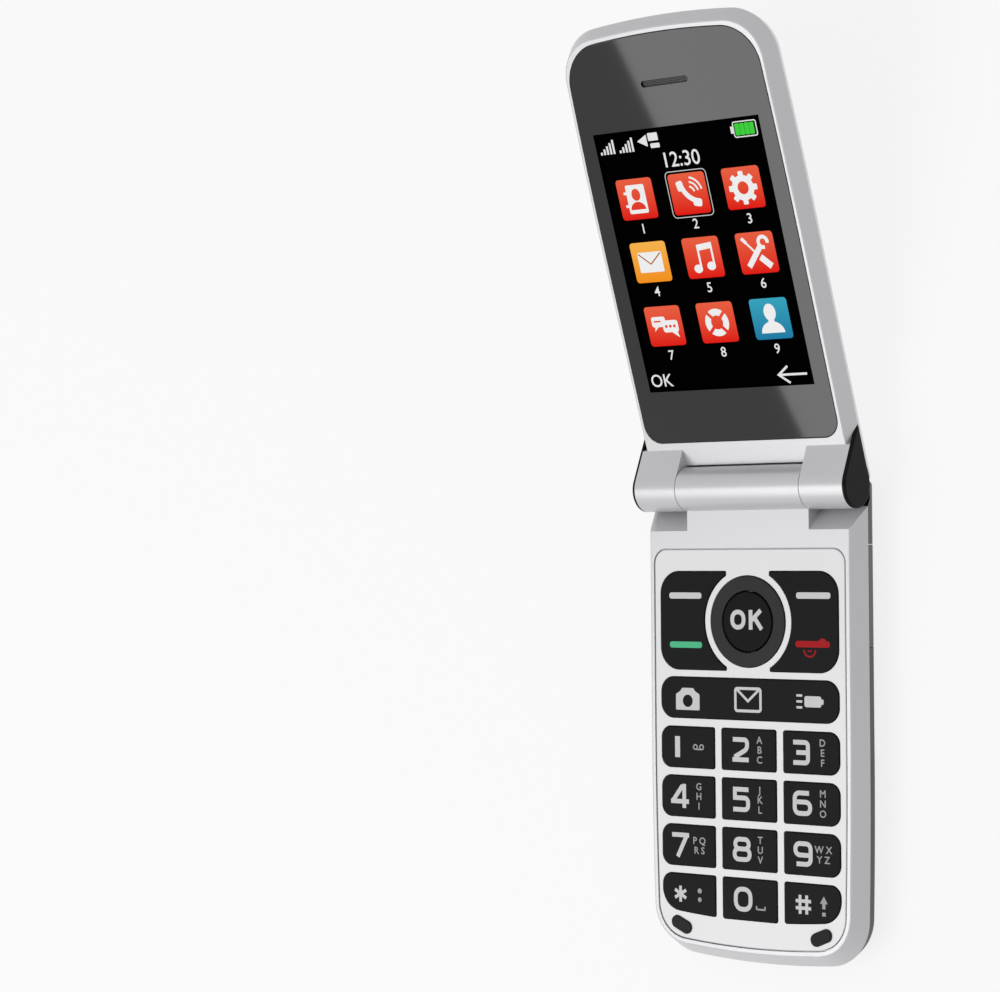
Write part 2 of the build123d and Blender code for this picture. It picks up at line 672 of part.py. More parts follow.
with BuildPart() as keypad_mat:
    with BuildSketch(base_level(MAT_Z)):
        add(mat_outline)
        with Locations((0, -NAV_D)):
            Circle(NAV_R + FLANGE + RUN, mode=Mode.SUBTRACT)
        with Locations((0, -BAR_TOP - KEY_H / 2)):
            SlotOverall(BAR_PAD_L + 2 * RUN, BAR_PAD_W + 2 * RUN, mode=Mode.SUBTRACT)
    extrude(amount=MAT_T)
    with BuildSketch(base_level(MAT_Z + MAT_T)):
        with Locations((0, -(ROW_TOP + KEY_H / 2 + KEY_PITCH * 3 / 2))):
            with GridLocations((FIELD_HALF + MIDDLE_HALF + COLUMN_WEB) / 2, KEY_PITCH, 3, 4):
                Circle(NUB_R)
    extrude(amount=NUB_T)

with BuildPart() as nav_actuator:
    with BuildSketch(base_level(ACTUATOR_Z)):
        with Locations((0, -NAV_D)):
            Circle(NAV_R)
            Circle(OK_R + 2 * FLANGE, mode=Mode.SUBTRACT)
    extrude(amount=ACTUATOR_T)

with BuildPart() as function_actuator:
    with BuildSketch(base_level(ACTUATOR_Z)):
        with Locations((0, -BAR_TOP - KEY_H / 2)):
            SlotOverall(BAR_PAD_L, BAR_PAD_W)
    extrude(amount=ACTUATOR_T)

with BuildPart() as shield_can:
    base_block(SHIELD_X, SHIELD_D, BOARD_Z - SHIELD_H, SHIELD_L, SHIELD_W, SHIELD_H)
    fillet(shield_can.edges().filter_by(Axis.Z), SHIELD_H / 4)
    fillet(shield_can.faces().sort_by(Axis.Z)[0].edges(), SHIELD_H / 8)
    base_block(
        SHIELD_X, SHIELD_D, BOARD_Z - SHIELD_H + SHEET_T, SHIELD_L - 2 * SHEET_T,
        SHIELD_W - 2 * SHEET_T, SHIELD_H, Mode.SUBTRACT,
    )

with BuildPart() as usb_socket:
    base_block(USB_X, USB_D, USB_Z, USB_L, USB_W, USB_H)
    fillet(usb_socket.edges().filter_by(Axis.X).group_by(Axis.Z)[0], USB_H / 4)
    base_block(
        USB_X - SHEET_T, USB_D, USB_Z + SHEET_T, USB_L, USB_W - 2 * SHEET_T,
        USB_H - 2 * SHEET_T, Mode.SUBTRACT,
    )
    base_block(
        USB_X + (USB_L - USB_TONGUE) / 2, USB_D, USB_Z + USB_H * 2 / 5, USB_TONGUE, USB_W / 2, USB_H / 5
    )

with BuildPart() as battery_contacts:
    base_block(0, BAY_NEAR - CONTACT_D / 2, WALL + 2 * FIT, CONTACT_L, CONTACT_D, BOARD_Z - WALL - 2 * FIT)
    for x in (-CONTACT_L / 3, 0, CONTACT_L / 3):
        base_block(x, BAY_NEAR + CONTACT_OUT / 2, WALL + BATTERY_T / 2, 1, CONTACT_OUT, 1)

with BuildPart() as battery:
    base_block(
        0, (BAY_NEAR + BAY_FAR + CONTACT_OUT) / 2, WALL + RUN, 2 * (BAY_HALF - SWEEP),
        BAY_FAR - BAY_NEAR - CONTACT_OUT - 2 * RUN, BATTERY_T,
    )
    fillet(battery.edges().filter_by(Axis.Y), BATTERY_T / 4)

with BuildPart() as sim_holder:
    base_block(SIM_X, SIM_D, FLOOR_Z - SIM_T, SIM_L, SIM_W, SIM_T)
    base_block(
        SIM_X + SIM_T, SIM_D, FLOOR_Z - SIM_T / 2, SIM_L, SIM_W - 2 * SIM_T, SIM_T, Mode.SUBTRACT
    )
    base_block(
        SIM_X, SIM_D, 0, SIM_L - 2 * SIM_BORDER, SIM_W - 2 * SIM_BORDER, BASE_T, Mode.SUBTRACT
    )

with BuildPart() as loudspeaker:
    base_block(SPEAKER_X, SPEAKER_D, WALL + RUN, SPEAKER_L, SPEAKER_W, FLOOR_Z - FIT - WALL - RUN)
    fillet(loudspeaker.edges().filter_by(Axis.Z), SPEAKER_W / 3)

with BuildPart() as vibration_motor:
    base_disc(MOTOR_X, SPEAKER_D, FLOOR_Z - FIT - MOTOR_T, MOTOR_R, MOTOR_T)
    fillet(vibration_motor.edges(), MOTOR_T / 10)

with BuildPart() as microphone:
    base_disc(0, MIC_D, DOME_Z, MIC_R, MIC_T)

with BuildPart() as antenna:
    base_block(0, SCREW_SPOTS[-1][1] - FIT, SEAM_Z, ANTENNA_L, ANTENNA_W, LEDGE_Z - FIT - SEAM_Z)
    fillet(antenna.edges().filter_by(Axis.Z), ANTENNA_W / 4)

with BuildPart() as housing_screws:
    for x, d in SCREW_SPOTS:
        base_disc(x, d, SCREW_HEAD_Z, SCREW_HEAD_R, SCREW_HEAD_T)
        base_disc(x, d, SCREW_HEAD_Z, SCREW_R - FIT / 2, SCREW_TOP - FIT - SCREW_HEAD_Z)
        base_disc(x, d, SCREW_HEAD_Z, SCREW_R / 2, SCREW_HEAD_T / 2, Mode.SUBTRACT)

with BuildPart() as hinge_can:
    hinge_rod(CAN_X, BARREL_HALF, HINGE_BORE_R - HINGE_FIT)
    hinge_rod(BARREL_HALF - CAN_BORE_L, BARREL_HALF, SHAFT_R + HINGE_FIT, Mode.SUBTRACT)

with BuildPart() as hinge_flex:
    base_block(
        FLEX_X, (BOARD_NEAR + FLEX_PLUG + FLEX_END) / 2, FLEX_Z, FLEX_W,
        BOARD_NEAR + FLEX_PLUG - FLEX_END, FLEX_T,
    )
    base_block(
        FLEX_X, BOARD_NEAR + FLEX_PLUG / 2, DOME_Z, FLEX_W, FLEX_PLUG, FLEX_Z + FLEX_T - DOME_Z
    )


# ================================================================ keys
def key_cap(cell, flange):
    """Cap through the plate with a flange under it; the cell is its opening."""
    top = offset(cell, amount=-RUN)
    with BuildPart() as cap:
        with BuildSketch(base_level(FLANGE_TOP)):
            add(top)
        extrude(amount=KEY_TOP - FLANGE_TOP)
        fillet(cap.faces().sort_by(Axis.Z)[-1].edges(), KEY_EDGE_R)
        with BuildSketch(base_level(FLANGE_Z)):
            add(flange)
        extrude(amount=FLANGE_T)
    return cap


def tabs(cell, half_x, half_d, x, d):
    """Flange of a rocking key: only beside its pivot line."""
    wide = offset(cell, amount=FLANGE)
    narrow = offset(cell, amount=-RUN)
    with BuildSketch() as flange:
        add(wide)
        with Locations((x, -d)):
            Rectangle(2 * half_x, 2 * half_d, mode=Mode.INTERSECT)
        add(narrow)
    return flange.sketch


digit_keys = {}
for name, cell in CELLS.items():
    digit_keys[name] = key_cap(cell, offset(cell, amount=FLANGE))

left_wing_key = key_cap(LEFT_WING, tabs(LEFT_WING, CASE_W, ROCKER_TAB, 0, NAV_D))
right_wing_key = key_cap(RIGHT_WING, tabs(RIGHT_WING, CASE_W, ROCKER_TAB, 0, NAV_D))
function_bar = key_cap(BAR_CELL, tabs(BAR_CELL, FIELD_HALF / 2, CASE_W, 0, NAV_D))

with BuildPart() as nav_ring:
    base_disc(0, NAV_D, FLANGE_Z, NAV_R + FLANGE, FLANGE_T - RING_ROOM)
    base_disc(0, NAV_D, FLANGE_Z, NAV_R - RUN, KEY_TOP - FLANGE_Z)
    base_disc(0, NAV_D, FLANGE_Z, OK_R + RUN, KEY_TOP, Mode.SUBTRACT)
    fillet(nav_ring.faces().sort_by(Axis.Z)[-1].edges(), KEY_EDGE_R)

with BuildPart() as ok_key:
    base_disc(0, NAV_D, FLANGE_Z, OK_R - FIT, KEY_TOP - FLANGE_Z)
    fillet(ok_key.faces().sort_by(Axis.Z)[-1].edges(), KEY_EDGE_R)


# ================================================================ lid, outside
def lid_outline(inset, near):
    """Outline across the lid, drawn in from the seam."""
    return case_outline(HALF_W - inset, near, LID_FAR - inset, CORNER_R - inset, 1)


def lid_form(inset, near):
    """Form of the lid's outer half, drawn in by inset all over."""
    with BuildPart() as form:
        with BuildSketch(lid_level(LID_SEAM)):
            add(lid_outline(inset, near))
        extrude(amount=inset - LID_COVER_T, taper=LID_TAPER)
        fillet(form.faces().sort_by(Axis(AXIS, OUT))[0].edges(), LID_R - inset)
    return form.part


def cap_profile():
    """Teardrop at the end of the hinge: barrel circle, slope and pointed tip."""
    with BuildSketch() as profile:
        Circle(BARREL_R)
        Polygon(
            (0, 0),
            (BARREL_R * SLOPE_S, BARREL_R * SLOPE_N),
            (EAR_SLOPE_S, LENS_FACE),
            (CAP_TIP_S, LID_SEAM),
            (0, LID_SEAM),
            align=None,
        )
    return profile.sketch



def lens_outline(grow):
    """Outline of the lens, grown for its seat."""
    return case_outline(
        HALF_W - LENS_INSET + grow, LENS_NEAR - grow, LENS_FAR + grow, LENS_CORNER_R + grow, 1,
        LENS_NEAR_R + grow,
    )


with BuildPart() as lid_frame:
    with BuildSketch(lid_level(LID_SEAM)):
        add(lid_outline(0, LID_NEAR))
    with BuildSketch(lid_level(LENS_FACE)):
        add(lid_outline(LID_RIM_IN, LID_NEAR))
    loft(ruled=True)
    fillet(
        lid_frame.faces().sort_by(Axis(AXIS, OUT))[-1].edges().sort_by(Axis(AXIS, ALONG))[1:], RIM_R
    )
    # ears: the barrel's circle with a slope up to the lens face
    for side in (-1, 1):
        with BuildSketch(lid_section(side * EAR_IN)):
            Circle(BARREL_R)
            Polygon(
                (0, 0),
                (BARREL_R * SLOPE_S, BARREL_R * SLOPE_N),
                (EAR_SLOPE_S, LENS_FACE),
                (EAR_SLOPE_S, LID_SEAM),
                (0, LID_SEAM),
                align=None,
            )
        extrude(amount=side * (EAR_SIDE - EAR_IN))
        with BuildSketch(lid_section(side * EAR_SIDE)):
            Polygon(
                (EAR_SLOPE_S, CASE_W),
                (EAR_SLOPE_S, LENS_FACE),
                (CAP_TIP_S, LID_SEAM),
                (CAP_TIP_S, -CASE_W),
                (-CASE_W, -CASE_W),
                (-CASE_W, CASE_W),
                align=None,
            )
        extrude(amount=side * CASE_W, mode=Mode.SUBTRACT)
    # seats of the lens, the screen, the earpiece, the magnet and the boards
    with BuildSketch(lid_level(LENS_SEAT)):
        add(lens_outline(FIT))
    extrude(amount=2 * LENS_T, mode=Mode.SUBTRACT)
    lid_block(
        0, (PANEL_NEAR + PANEL_FAR) / 2, LID_SEAM, 2 * (PANEL_HALF + TRAY_T + FIT),
        PANEL_FAR - PANEL_NEAR + 2 * (TRAY_T + FIT), LID_FRAME_T, Mode.SUBTRACT,
    )
    lid_block(
        0, SLOT_S, LID_SEAM, EARPIECE_L + 2 * FIT, EARPIECE_W + 2 * FIT, LID_FRAME_T, Mode.SUBTRACT
    )
    lid_block(
        MAGNET_X, MAGNET_S, LID_SEAM, MAGNET_L + 2 * FIT, MAGNET_W + 2 * FIT, MAGNET_T + FIT,
        Mode.SUBTRACT,
    )
    lid_block(
        0, (LID_POCKET_NEAR + PANEL_NEAR) / 2, LID_SEAM, 2 * (PANEL_HALF + TRAY_T + FIT),
        PANEL_NEAR - LID_POCKET_NEAR, LENS_SEAT - LID_SKIN - LID_SEAM, Mode.SUBTRACT,
    )
    for side in (-1, 1):
        with Locations(lid_level(LID_SEAM)):
            with Locations((side * PILLAR_X, PILLAR_S, 0)):
                Cylinder(
                    2 * SCREW_R, LENS_SEAT - LID_SKIN - LID_SEAM,
                    align=(Align.CENTER, Align.CENTER, Align.MIN),
                )
                Cylinder(
                    SCREW_R, LENS_SEAT - LID_SKIN - LID_SEAM,
                    align=(Align.CENTER, Align.CENTER, Align.MIN), mode=Mode.SUBTRACT,
                )
    # bores of the hinge shaft and the sleeve, and the way of the display flex
    hinge_rod(EAR_IN - FIT, EAR_IN + SHAFT_HEAD_L + FIT, HINGE_BORE_R, Mode.SUBTRACT)
    hinge_rod(-EAR_IN + FIT, ROLL_FROM - FIT, HINGE_BORE_R, Mode.SUBTRACT)
    lid_block(
        TRAIL_X, TRAIL_S / 2 + FLEX_T, TRAIL_N - 2 * FLEX_T, TRAIL_W + 4 * FIT, TRAIL_S + 2 * FLEX_T,
        -ROLL_R - TRAIL_N + 4 * FLEX_T, Mode.SUBTRACT,
    )
    lid_block(
        TRAIL_X, (TRAIL_S + TRAIL_FAR + FIT) / 2, TRAIL_N - FLEX_T, TRAIL_W + 4 * FIT,
        TRAIL_FAR + FIT - TRAIL_S, 2 * FLEX_T, Mode.SUBTRACT,
    )

with BuildPart() as lid_cover:
    add(lid_form(0, -COVER_BACK))
    add(lid_form(LID_WALL, LID_POCKET_NEAR - 1), mode=Mode.SUBTRACT)
    hinge_rod(-CASE_W, CASE_W, BARREL_R + SWEEP, Mode.SUBTRACT)

with BuildPart() as hinge_caps:
    for side in (-1, 1):
        with BuildSketch(lid_section(side * EAR_SIDE)):
            add(cap_profile())
        extrude(amount=side * CAP_T)
    fillet(hinge_caps.faces().sort_by(Axis.X)[0].edges(), CAP_R)
    fillet(hinge_caps.faces().sort_by(Axis.X)[-1].edges(), CAP_R)

with BuildPart() as lens:
    with BuildSketch(lid_level(LENS_SEAT)):
        add(lens_outline(0))
    extrude(amount=LENS_T)
    fillet(lens.faces().sort_by(Axis(AXIS, OUT))[-1].edges(), LENS_T / 5)
    with BuildSketch(lid_level(LENS_SEAT)):
        with Locations((0, SLOT_S)):
            SlotOverall(SLOT_L, SLOT_W)
    extrude(amount=LENS_T, mode=Mode.SUBTRACT)

with BuildPart() as earpiece_mesh:
    with BuildSketch(lid_level(LENS_SEAT + MESH_IN)):
        with Locations((0, SLOT_S)):
            SlotOverall(SLOT_L - FIT, SLOT_W - FIT)
    extrude(amount=SHEET_T)

# ================================================================ lid, inside
with BuildPart() as display_panel:
    lid_block(
        0, (PANEL_NEAR + PANEL_FAR) / 2, PANEL_BOTTOM, 2 * PANEL_HALF, PANEL_FAR - PANEL_NEAR, PANEL_T
    )

with BuildPart() as display_frame:
    lid_block(
        0, (PANEL_NEAR + PANEL_FAR) / 2, PANEL_BOTTOM - SHEET_T, 2 * (PANEL_HALF + TRAY_T),
        PANEL_FAR - PANEL_NEAR + 2 * TRAY_T, PANEL_T,
    )
    lid_block(
        0, (PANEL_NEAR + PANEL_FAR) / 2, PANEL_BOTTOM, 2 * PANEL_HALF + FIT,
        PANEL_FAR - PANEL_NEAR + FIT, PANEL_T, Mode.SUBTRACT,
    )

with BuildPart() as earpiece:
    lid_block(0, SLOT_S, LENS_SEAT - EARPIECE_T, EARPIECE_L, EARPIECE_W, EARPIECE_T)
    fillet(earpiece.edges().filter_by(Axis(AXIS, OUT)), EARPIECE_W / 4)

with BuildPart() as lid_magnet:
    lid_block(MAGNET_X, MAGNET_S, LID_SEAM, MAGNET_L, MAGNET_W, MAGNET_T)

with BuildPart() as lid_board:
    lid_block(
        0, (LID_BOARD_NEAR + LID_BOARD_FAR) / 2, LID_BOARD_TOP - LID_BOARD_T, 2 * LID_BOARD_HALF,
        LID_BOARD_FAR - LID_BOARD_NEAR, LID_BOARD_T,
    )
    fillet(lid_board.edges().filter_by(Axis(AXIS, OUT)), 1)
    lid_block(
        0, LID_BOARD_FAR - LID_BOARD_HALF / 2, LID_BOARD_TOP - 2 * LID_BOARD_T, LID_BOARD_HALF,
        LID_BOARD_HALF / 2, LID_BOARD_T,
    )
    for side in (-1, 1):
        lid_block(
            side * PILLAR_X, PILLAR_S, LID_BOARD_TOP - 2 * LID_BOARD_T, 2 * SCREW_R + FIT,
            2 * SCREW_R + FIT, 3 * LID_BOARD_T, Mode.SUBTRACT,
        )

with BuildPart() as lid_screws:
    for side in (-1, 1):
        with Locations(lid_level(LID_BOARD_TOP - LID_BOARD_T)):
            with Locations((side * PILLAR_X, PILLAR_S, 0)):
                Cylinder(
                    SCREW_HEAD_R, SCREW_HEAD_T, align=(Align.CENTER, Align.CENTER, Align.MAX)
                )
                Cylinder(
                    SCREW_R - FIT / 2, LID_BOARD_T + SCREW_HEAD_T,
                    align=(Align.CENTER, Align.CENTER, Align.MIN),
                )

with BuildPart() as hinge_shaft:
    hinge_rod(BARREL_HALF - CAN_BORE_L + FIT, EAR_IN, SHAFT_R)
    hinge_rod(EAR_IN, EAR_IN + SHAFT_HEAD_L, HINGE_BORE_R - HINGE_FIT)

with BuildPart() as pivot_sleeve:
    hinge_rod(SLEEVE_FROM, SLEEVE_TO, HINGE_BORE_R - HINGE_FIT)
    hinge_rod(SLEEVE_FROM, SLEEVE_TO, SLEEVE_R, Mode.SUBTRACT)

with BuildPart() as display_flex:
    hinge_rod(ROLL_FROM, ROLL_TO, ROLL_R)
    hinge_rod(ROLL_FROM, ROLL_TO, ROLL_R - FLEX_T, Mode.SUBTRACT)
    lid_block(TRAIL_X, TRAIL_S / 2, -ROLL_R, TRAIL_W, TRAIL_S, FLEX_T)
    lid_block(TRAIL_X, TRAIL_S - FLEX_T / 2, TRAIL_N - FLEX_T / 2, TRAIL_W, FLEX_T, -ROLL_R - TRAIL_N + FLEX_T)
    lid_block(
        TRAIL_X, (TRAIL_S - FLEX_T + TRAIL_FAR) / 2, TRAIL_N - FLEX_T / 2, TRAIL_W,
        TRAIL_FAR - TRAIL_S + FLEX_T, FLEX_T,
    )

# ================================================================ labels and files
PIECES = {
    "base_frame": base_frame,
    "keypad_plate": keypad_plate,
    "rear_housing": rear_housing,
    "camera_cover": camera_cover,
    "battery_cover": battery_cover,
    "camera_module": camera_module,
    "camera_window": camera_window,
    "flash_led": flash_led,
    "battery": battery,
    "battery_contacts": battery_contacts,
    "main_board": main_board,
    "dome_sheet": dome_sheet,
    "keypad_mat": keypad_mat,
    "shield_can": shield_can,
    "sim_holder": sim_holder,
    "loudspeaker": loudspeaker,
    "vibration_motor": vibration_motor,
    "usb_socket": usb_socket,
    "microphone": microphone,
    "antenna": antenna,
    "housing_screws": housing_screws,
    "rubber_pads": rubber_pads,
    "hinge_can": hinge_can,
    "hinge_flex": hinge_flex,
    "nav_actuator": nav_actuator,
    "nav_ring": nav_ring,
    "ok_key": ok_key,
    "left_wing_key": left_wing_key,
    "right_wing_key": right_wing_key,
    "function_actuator": function_actuator,
    "function_bar": function_bar,
    "lid_frame": lid_frame,
    "lid_cover": lid_cover,
    "lens": lens,
    "display_panel": display_panel,
    "display_frame": display_frame,
    "earpiece": earpiece,
    "earpiece_mesh": earpiece_mesh,
    "lid_board": lid_board,
    "lid_magnet": lid_magnet,
    "lid_screws": lid_screws,
    "hinge_caps": hinge_caps,
    "hinge_shaft": hinge_shaft,
    "pivot_sleeve": pivot_sleeve,
    "display_flex": display_flex,
}
for name, key in digit_keys.items():
    PIECES["key_" + name] = key

os.makedirs("parts", exist_ok=True)
for name, piece in PIECES.items():
    piece.part.label = name
    export_step(piece.part, f"parts/{name}.step")
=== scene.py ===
"""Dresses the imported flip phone: finishes for the CAD nodes, key marks, a lit menu and a pale studio."""

import json
import math

import bpy
from bpy.props import FloatProperty, FloatVectorProperty, PointerProperty
from mathutils import Matrix, Vector


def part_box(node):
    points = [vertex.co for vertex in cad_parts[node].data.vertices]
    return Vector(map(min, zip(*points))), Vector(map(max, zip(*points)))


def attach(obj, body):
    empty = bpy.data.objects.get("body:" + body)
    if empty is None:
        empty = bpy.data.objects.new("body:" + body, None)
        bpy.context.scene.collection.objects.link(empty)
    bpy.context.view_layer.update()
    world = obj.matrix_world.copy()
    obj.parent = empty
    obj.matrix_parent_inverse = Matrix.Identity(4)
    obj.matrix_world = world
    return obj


bl_info = {
    "name": "Flip phone dressing",
    "version": (1, 0, 0),
    "blender": (4, 5, 0),
    "location": "3D View > Sidebar > Flip phone",
    "description": "Finishes, key marks, menu and studio for the flip phone",
    "category": "Object",
}

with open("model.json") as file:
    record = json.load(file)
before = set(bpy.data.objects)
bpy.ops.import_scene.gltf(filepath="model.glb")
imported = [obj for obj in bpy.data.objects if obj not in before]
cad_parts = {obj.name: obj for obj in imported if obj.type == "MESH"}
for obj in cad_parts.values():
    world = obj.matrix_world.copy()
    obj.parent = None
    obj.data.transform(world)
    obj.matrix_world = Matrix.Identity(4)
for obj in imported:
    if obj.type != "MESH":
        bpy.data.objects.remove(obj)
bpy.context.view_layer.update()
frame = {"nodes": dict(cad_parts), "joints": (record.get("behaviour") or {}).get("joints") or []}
NODES = frame["nodes"]
JOINTS = {joint["name"]: joint for joint in frame["joints"]}

MM = 0.001

# Thin layers in mm: a mark's height, how deep its foot lies in the key, and one menu layer.
PRINT_RISE = 0.03
PRINT_SINK = 0.02
GRAPHIC_STEP = 0.02
STAGGER = 0.03  # each next stroke of a piece is higher by this share, so crossing tops stay apart

# Pixel pitch, strokes of marks, and width, height and corner of the wing keys' bars, in mm.
PIXEL = 0.18
SIGN_STROKE = 0.72
SELECT_STROKE = 0.98
ONE_STROKE = 1.35
FINE_STROKE = 0.3
BAR = (8.75, 1.35, 0.55)
CAPITAL = 0.72  # height of a capital in the built-in face, as a share of its size

# Menu tiles in mm: top edges from the hinge, and middles across the lid.
ROW_TOPS = (69.05, 55.1, 40.8)
COLUMNS = (-14.55, -0.6, 13.35)

# Studio: floor, soft card and camera, in metres and radians.
FLOOR_GAP = 0.1 * MM
FLOOR_SIZE = 8
FLOOR_CELLS = 8
CARD_CORNER = Vector((-0.825, -0.491, 0.987))
CARD_TOWARD = Vector((-0.5915, -0.4236, 0.6861))
CARD_EDGE = Vector((0.2812, -0.9058, -0.3169))
CARD_WIDTH, CARD_LENGTH = 0.8, 1.2
CAMERA_PLACE = (0.365333, 0.037484, 0.516516)
CAMERA_TURNS = ((0.00740908, "Z"), (-0.01854499, "X"), (-0.71019561, "Y"))
SENSOR_WIDTH = 36  # mm

# Lid axes: across, along from the hinge to the far end, and out of the lens face.
HINGE = Vector(JOINTS["lid_hinge"]["pos_m"])
OPEN = math.radians(max(JOINTS["lid_hinge"]["range_deg"]))
ACROSS = Vector((1, 0, 0))
ALONG = Vector((0, -math.cos(OPEN), math.sin(OPEN)))
OUT = Vector((0, -math.sin(OPEN), -math.cos(OPEN)))


def centre(node):
    low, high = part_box(node)
    return (low + high) / 2


def reach(node, direction):
    """Furthest point of a node in a direction, from the hinge."""
    return max((vertex.co - HINGE).dot(direction) for vertex in NODES[node].data.vertices)


# Places of the marks: the key tops, and the display panel's face.
KEY_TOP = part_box("key_5")[1].z
PANEL_TOP = reach("display_panel", OUT)
KEYPAD = Matrix.Translation((0, HINGE.y, KEY_TOP))
PANEL = Matrix.Translation(HINGE + PANEL_TOP * OUT) @ Matrix((ACROSS, ALONG, OUT)).transposed().to_4x4()


# ---------------------------------------------------------------- drawing
def clear():
    """Deselects everything."""
    bpy.ops.object.select_all(action="DESELECT")


def trace(points, corner, closed):
    """Draws edges through the points in a new mesh, rounds the corners, and stays in edit mode."""
    clear()
    bpy.ops.mesh.primitive_plane_add(size=MM, location=(0, 0, 0))
    bpy.ops.object.mode_set(mode="EDIT")
    bpy.ops.mesh.select_all(action="SELECT")
    bpy.ops.mesh.merge(type="CENTER")
    here = Vector((0, 0, 0))
    first = True
    for x, y in list(points) + ([points[0]] if closed else []):
        there = Vector((x, y, 0)) * MM
        if first:
            bpy.ops.transform.translate(value=there)
        else:
            bpy.ops.mesh.extrude_region_move(TRANSFORM_OT_translate={"value": there - here})
        here, first = there, False
    bpy.ops.mesh.select_all(action="SELECT")
    if closed:
        bpy.ops.mesh.remove_doubles(threshold=MM / 1000)
    if corner:
        bpy.ops.mesh.bevel(offset=corner * MM, segments=4, affect="VERTICES")
    bpy.ops.mesh.select_all(action="SELECT")


def line(points, width, corner=0.0, closed=False, rise=PRINT_RISE):
    """Flat bar of one width along the points."""
    trace(points, corner, closed)
    bpy.ops.mesh.extrude_region_move(TRANSFORM_OT_translate={"value": (0, 0, rise * MM)})
    bpy.ops.mesh.select_all(action="SELECT")
    bpy.ops.mesh.normals_make_consistent(inside=False)
    bpy.ops.object.mode_set(mode="OBJECT")
    bar = bpy.context.object
    bpy.ops.object.modifier_add(type="SOLIDIFY")
    wall = bar.modifiers[-1]
    wall.thickness, wall.offset, wall.use_even_offset = width * MM, 0, True
    bpy.ops.object.modifier_apply(modifier=wall.name)
    return face_out(bar)


def slab(points, corner, rise=PRINT_RISE):
    """Flat shape inside the points."""
    trace(points, corner, True)
    bpy.ops.mesh.edge_face_add()
    bpy.ops.mesh.extrude_region_move(TRANSFORM_OT_translate={"value": (0, 0, rise * MM)})
    bpy.ops.object.mode_set(mode="OBJECT")
    return face_out(bpy.context.object)


def block(x, y, width, height, corner=0.0, rise=PRINT_RISE, turn=0.0):
    """Rounded rectangle about a point."""
    corners = [
        Vector((side * width / 2, end * height / 2)) @ Matrix.Rotation(-turn, 2)
        for side, end in ((-1, -1), (1, -1), (1, 1), (-1, 1))
    ]
    return slab([(x + c.x, y + c.y) for c in corners], corner, rise)


def moved(points, x, y):
    return [(x + px, y + py) for px, py in points]


def disc(x, y, radius, rise=PRINT_RISE, tall=1.0):
    return slab(arc(x, y, radius, 0, 2 * math.pi, 28, tall)[:-1], 0, rise)


def arc(x, y, radius, start, end, steps, tall=1.0):
    """Points along an arc."""
    angles = [start + (end - start) * step / steps for step in range(steps + 1)]
    return [(x + radius * math.cos(a), y + tall * radius * math.sin(a)) for a in angles]


def ring(x, y, radius, width, rise=PRINT_RISE):
    return line(arc(x, y, radius, 0, 2 * math.pi, 32)[:-1], width, 0, True, rise)


def words(body, x, y, height, bold, rise=PRINT_RISE, spacing=1.0):
    """Small letters or digits in the built-in face, as a mesh."""
    clear()
    bpy.ops.object.text_add(location=(0, 0, 0))
    text = bpy.context.object
    text.data.body = body
    text.data.size = height * MM / CAPITAL
    text.data.offset = bold * MM
    text.data.extrude = rise * MM / 2
    text.data.space_line = spacing
    text.data.resolution_u = 3
    text.data.align_x, text.data.align_y = "CENTER", "CENTER"
    bpy.ops.object.convert(target="MESH")
    text = bpy.context.object
    text.location = (x * MM, y * MM, rise * MM / 2)
    bpy.ops.object.transform_apply(location=True, rotation=True, scale=True)
    return text


def face_out(piece):
    """Turns all faces outwards."""
    clear()
    bpy.context.view_layer.objects.active = piece
    piece.select_set(True)
    bpy.ops.object.mode_set(mode="EDIT")
    bpy.ops.mesh.select_all(action="SELECT")
    bpy.ops.mesh.normals_make_consistent(inside=False)
    bpy.ops.object.mode_set(mode="OBJECT")
    return piece


def carve(piece, cutter):
    """Cuts one shape out of another."""
    clear()
    bpy.context.view_layer.objects.active = piece
    piece.select_set(True)
    bpy.ops.object.modifier_add(type="BOOLEAN")
    cut = piece.modifiers[-1]
    cut.operation, cut.object, cut.solver = "DIFFERENCE", cutter, "EXACT"
    bpy.ops.object.modifier_apply(modifier=cut.name)
    bpy.data.objects.remove(cutter)
    return piece


def lay(parts, name, body, place, finish, lift):
    """Joins the parts, lays them on a face, and gives them a name, a body and a finish."""
    clear()
    for index, part in enumerate(parts):
        part.scale.z = 1 + index * STAGGER
        part.select_set(True)
    piece = parts[0]
    bpy.context.view_layer.objects.active = piece
    if len(parts) > 1:
        bpy.ops.object.join()
    piece.matrix_world = place @ Matrix.Translation((0, 0, lift * MM))
    bpy.ops.object.transform_apply(location=True, rotation=True, scale=True)
    piece.name = piece.data.name = name
    piece.data.materials.clear()
    piece.data.materials.append(finish)
    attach(piece, body)
    return piece


def stamp(parts, name, key, place, ink):
    """Prints a mark on a key."""
    return lay(parts, name, key, place, ink, -PRINT_SINK)


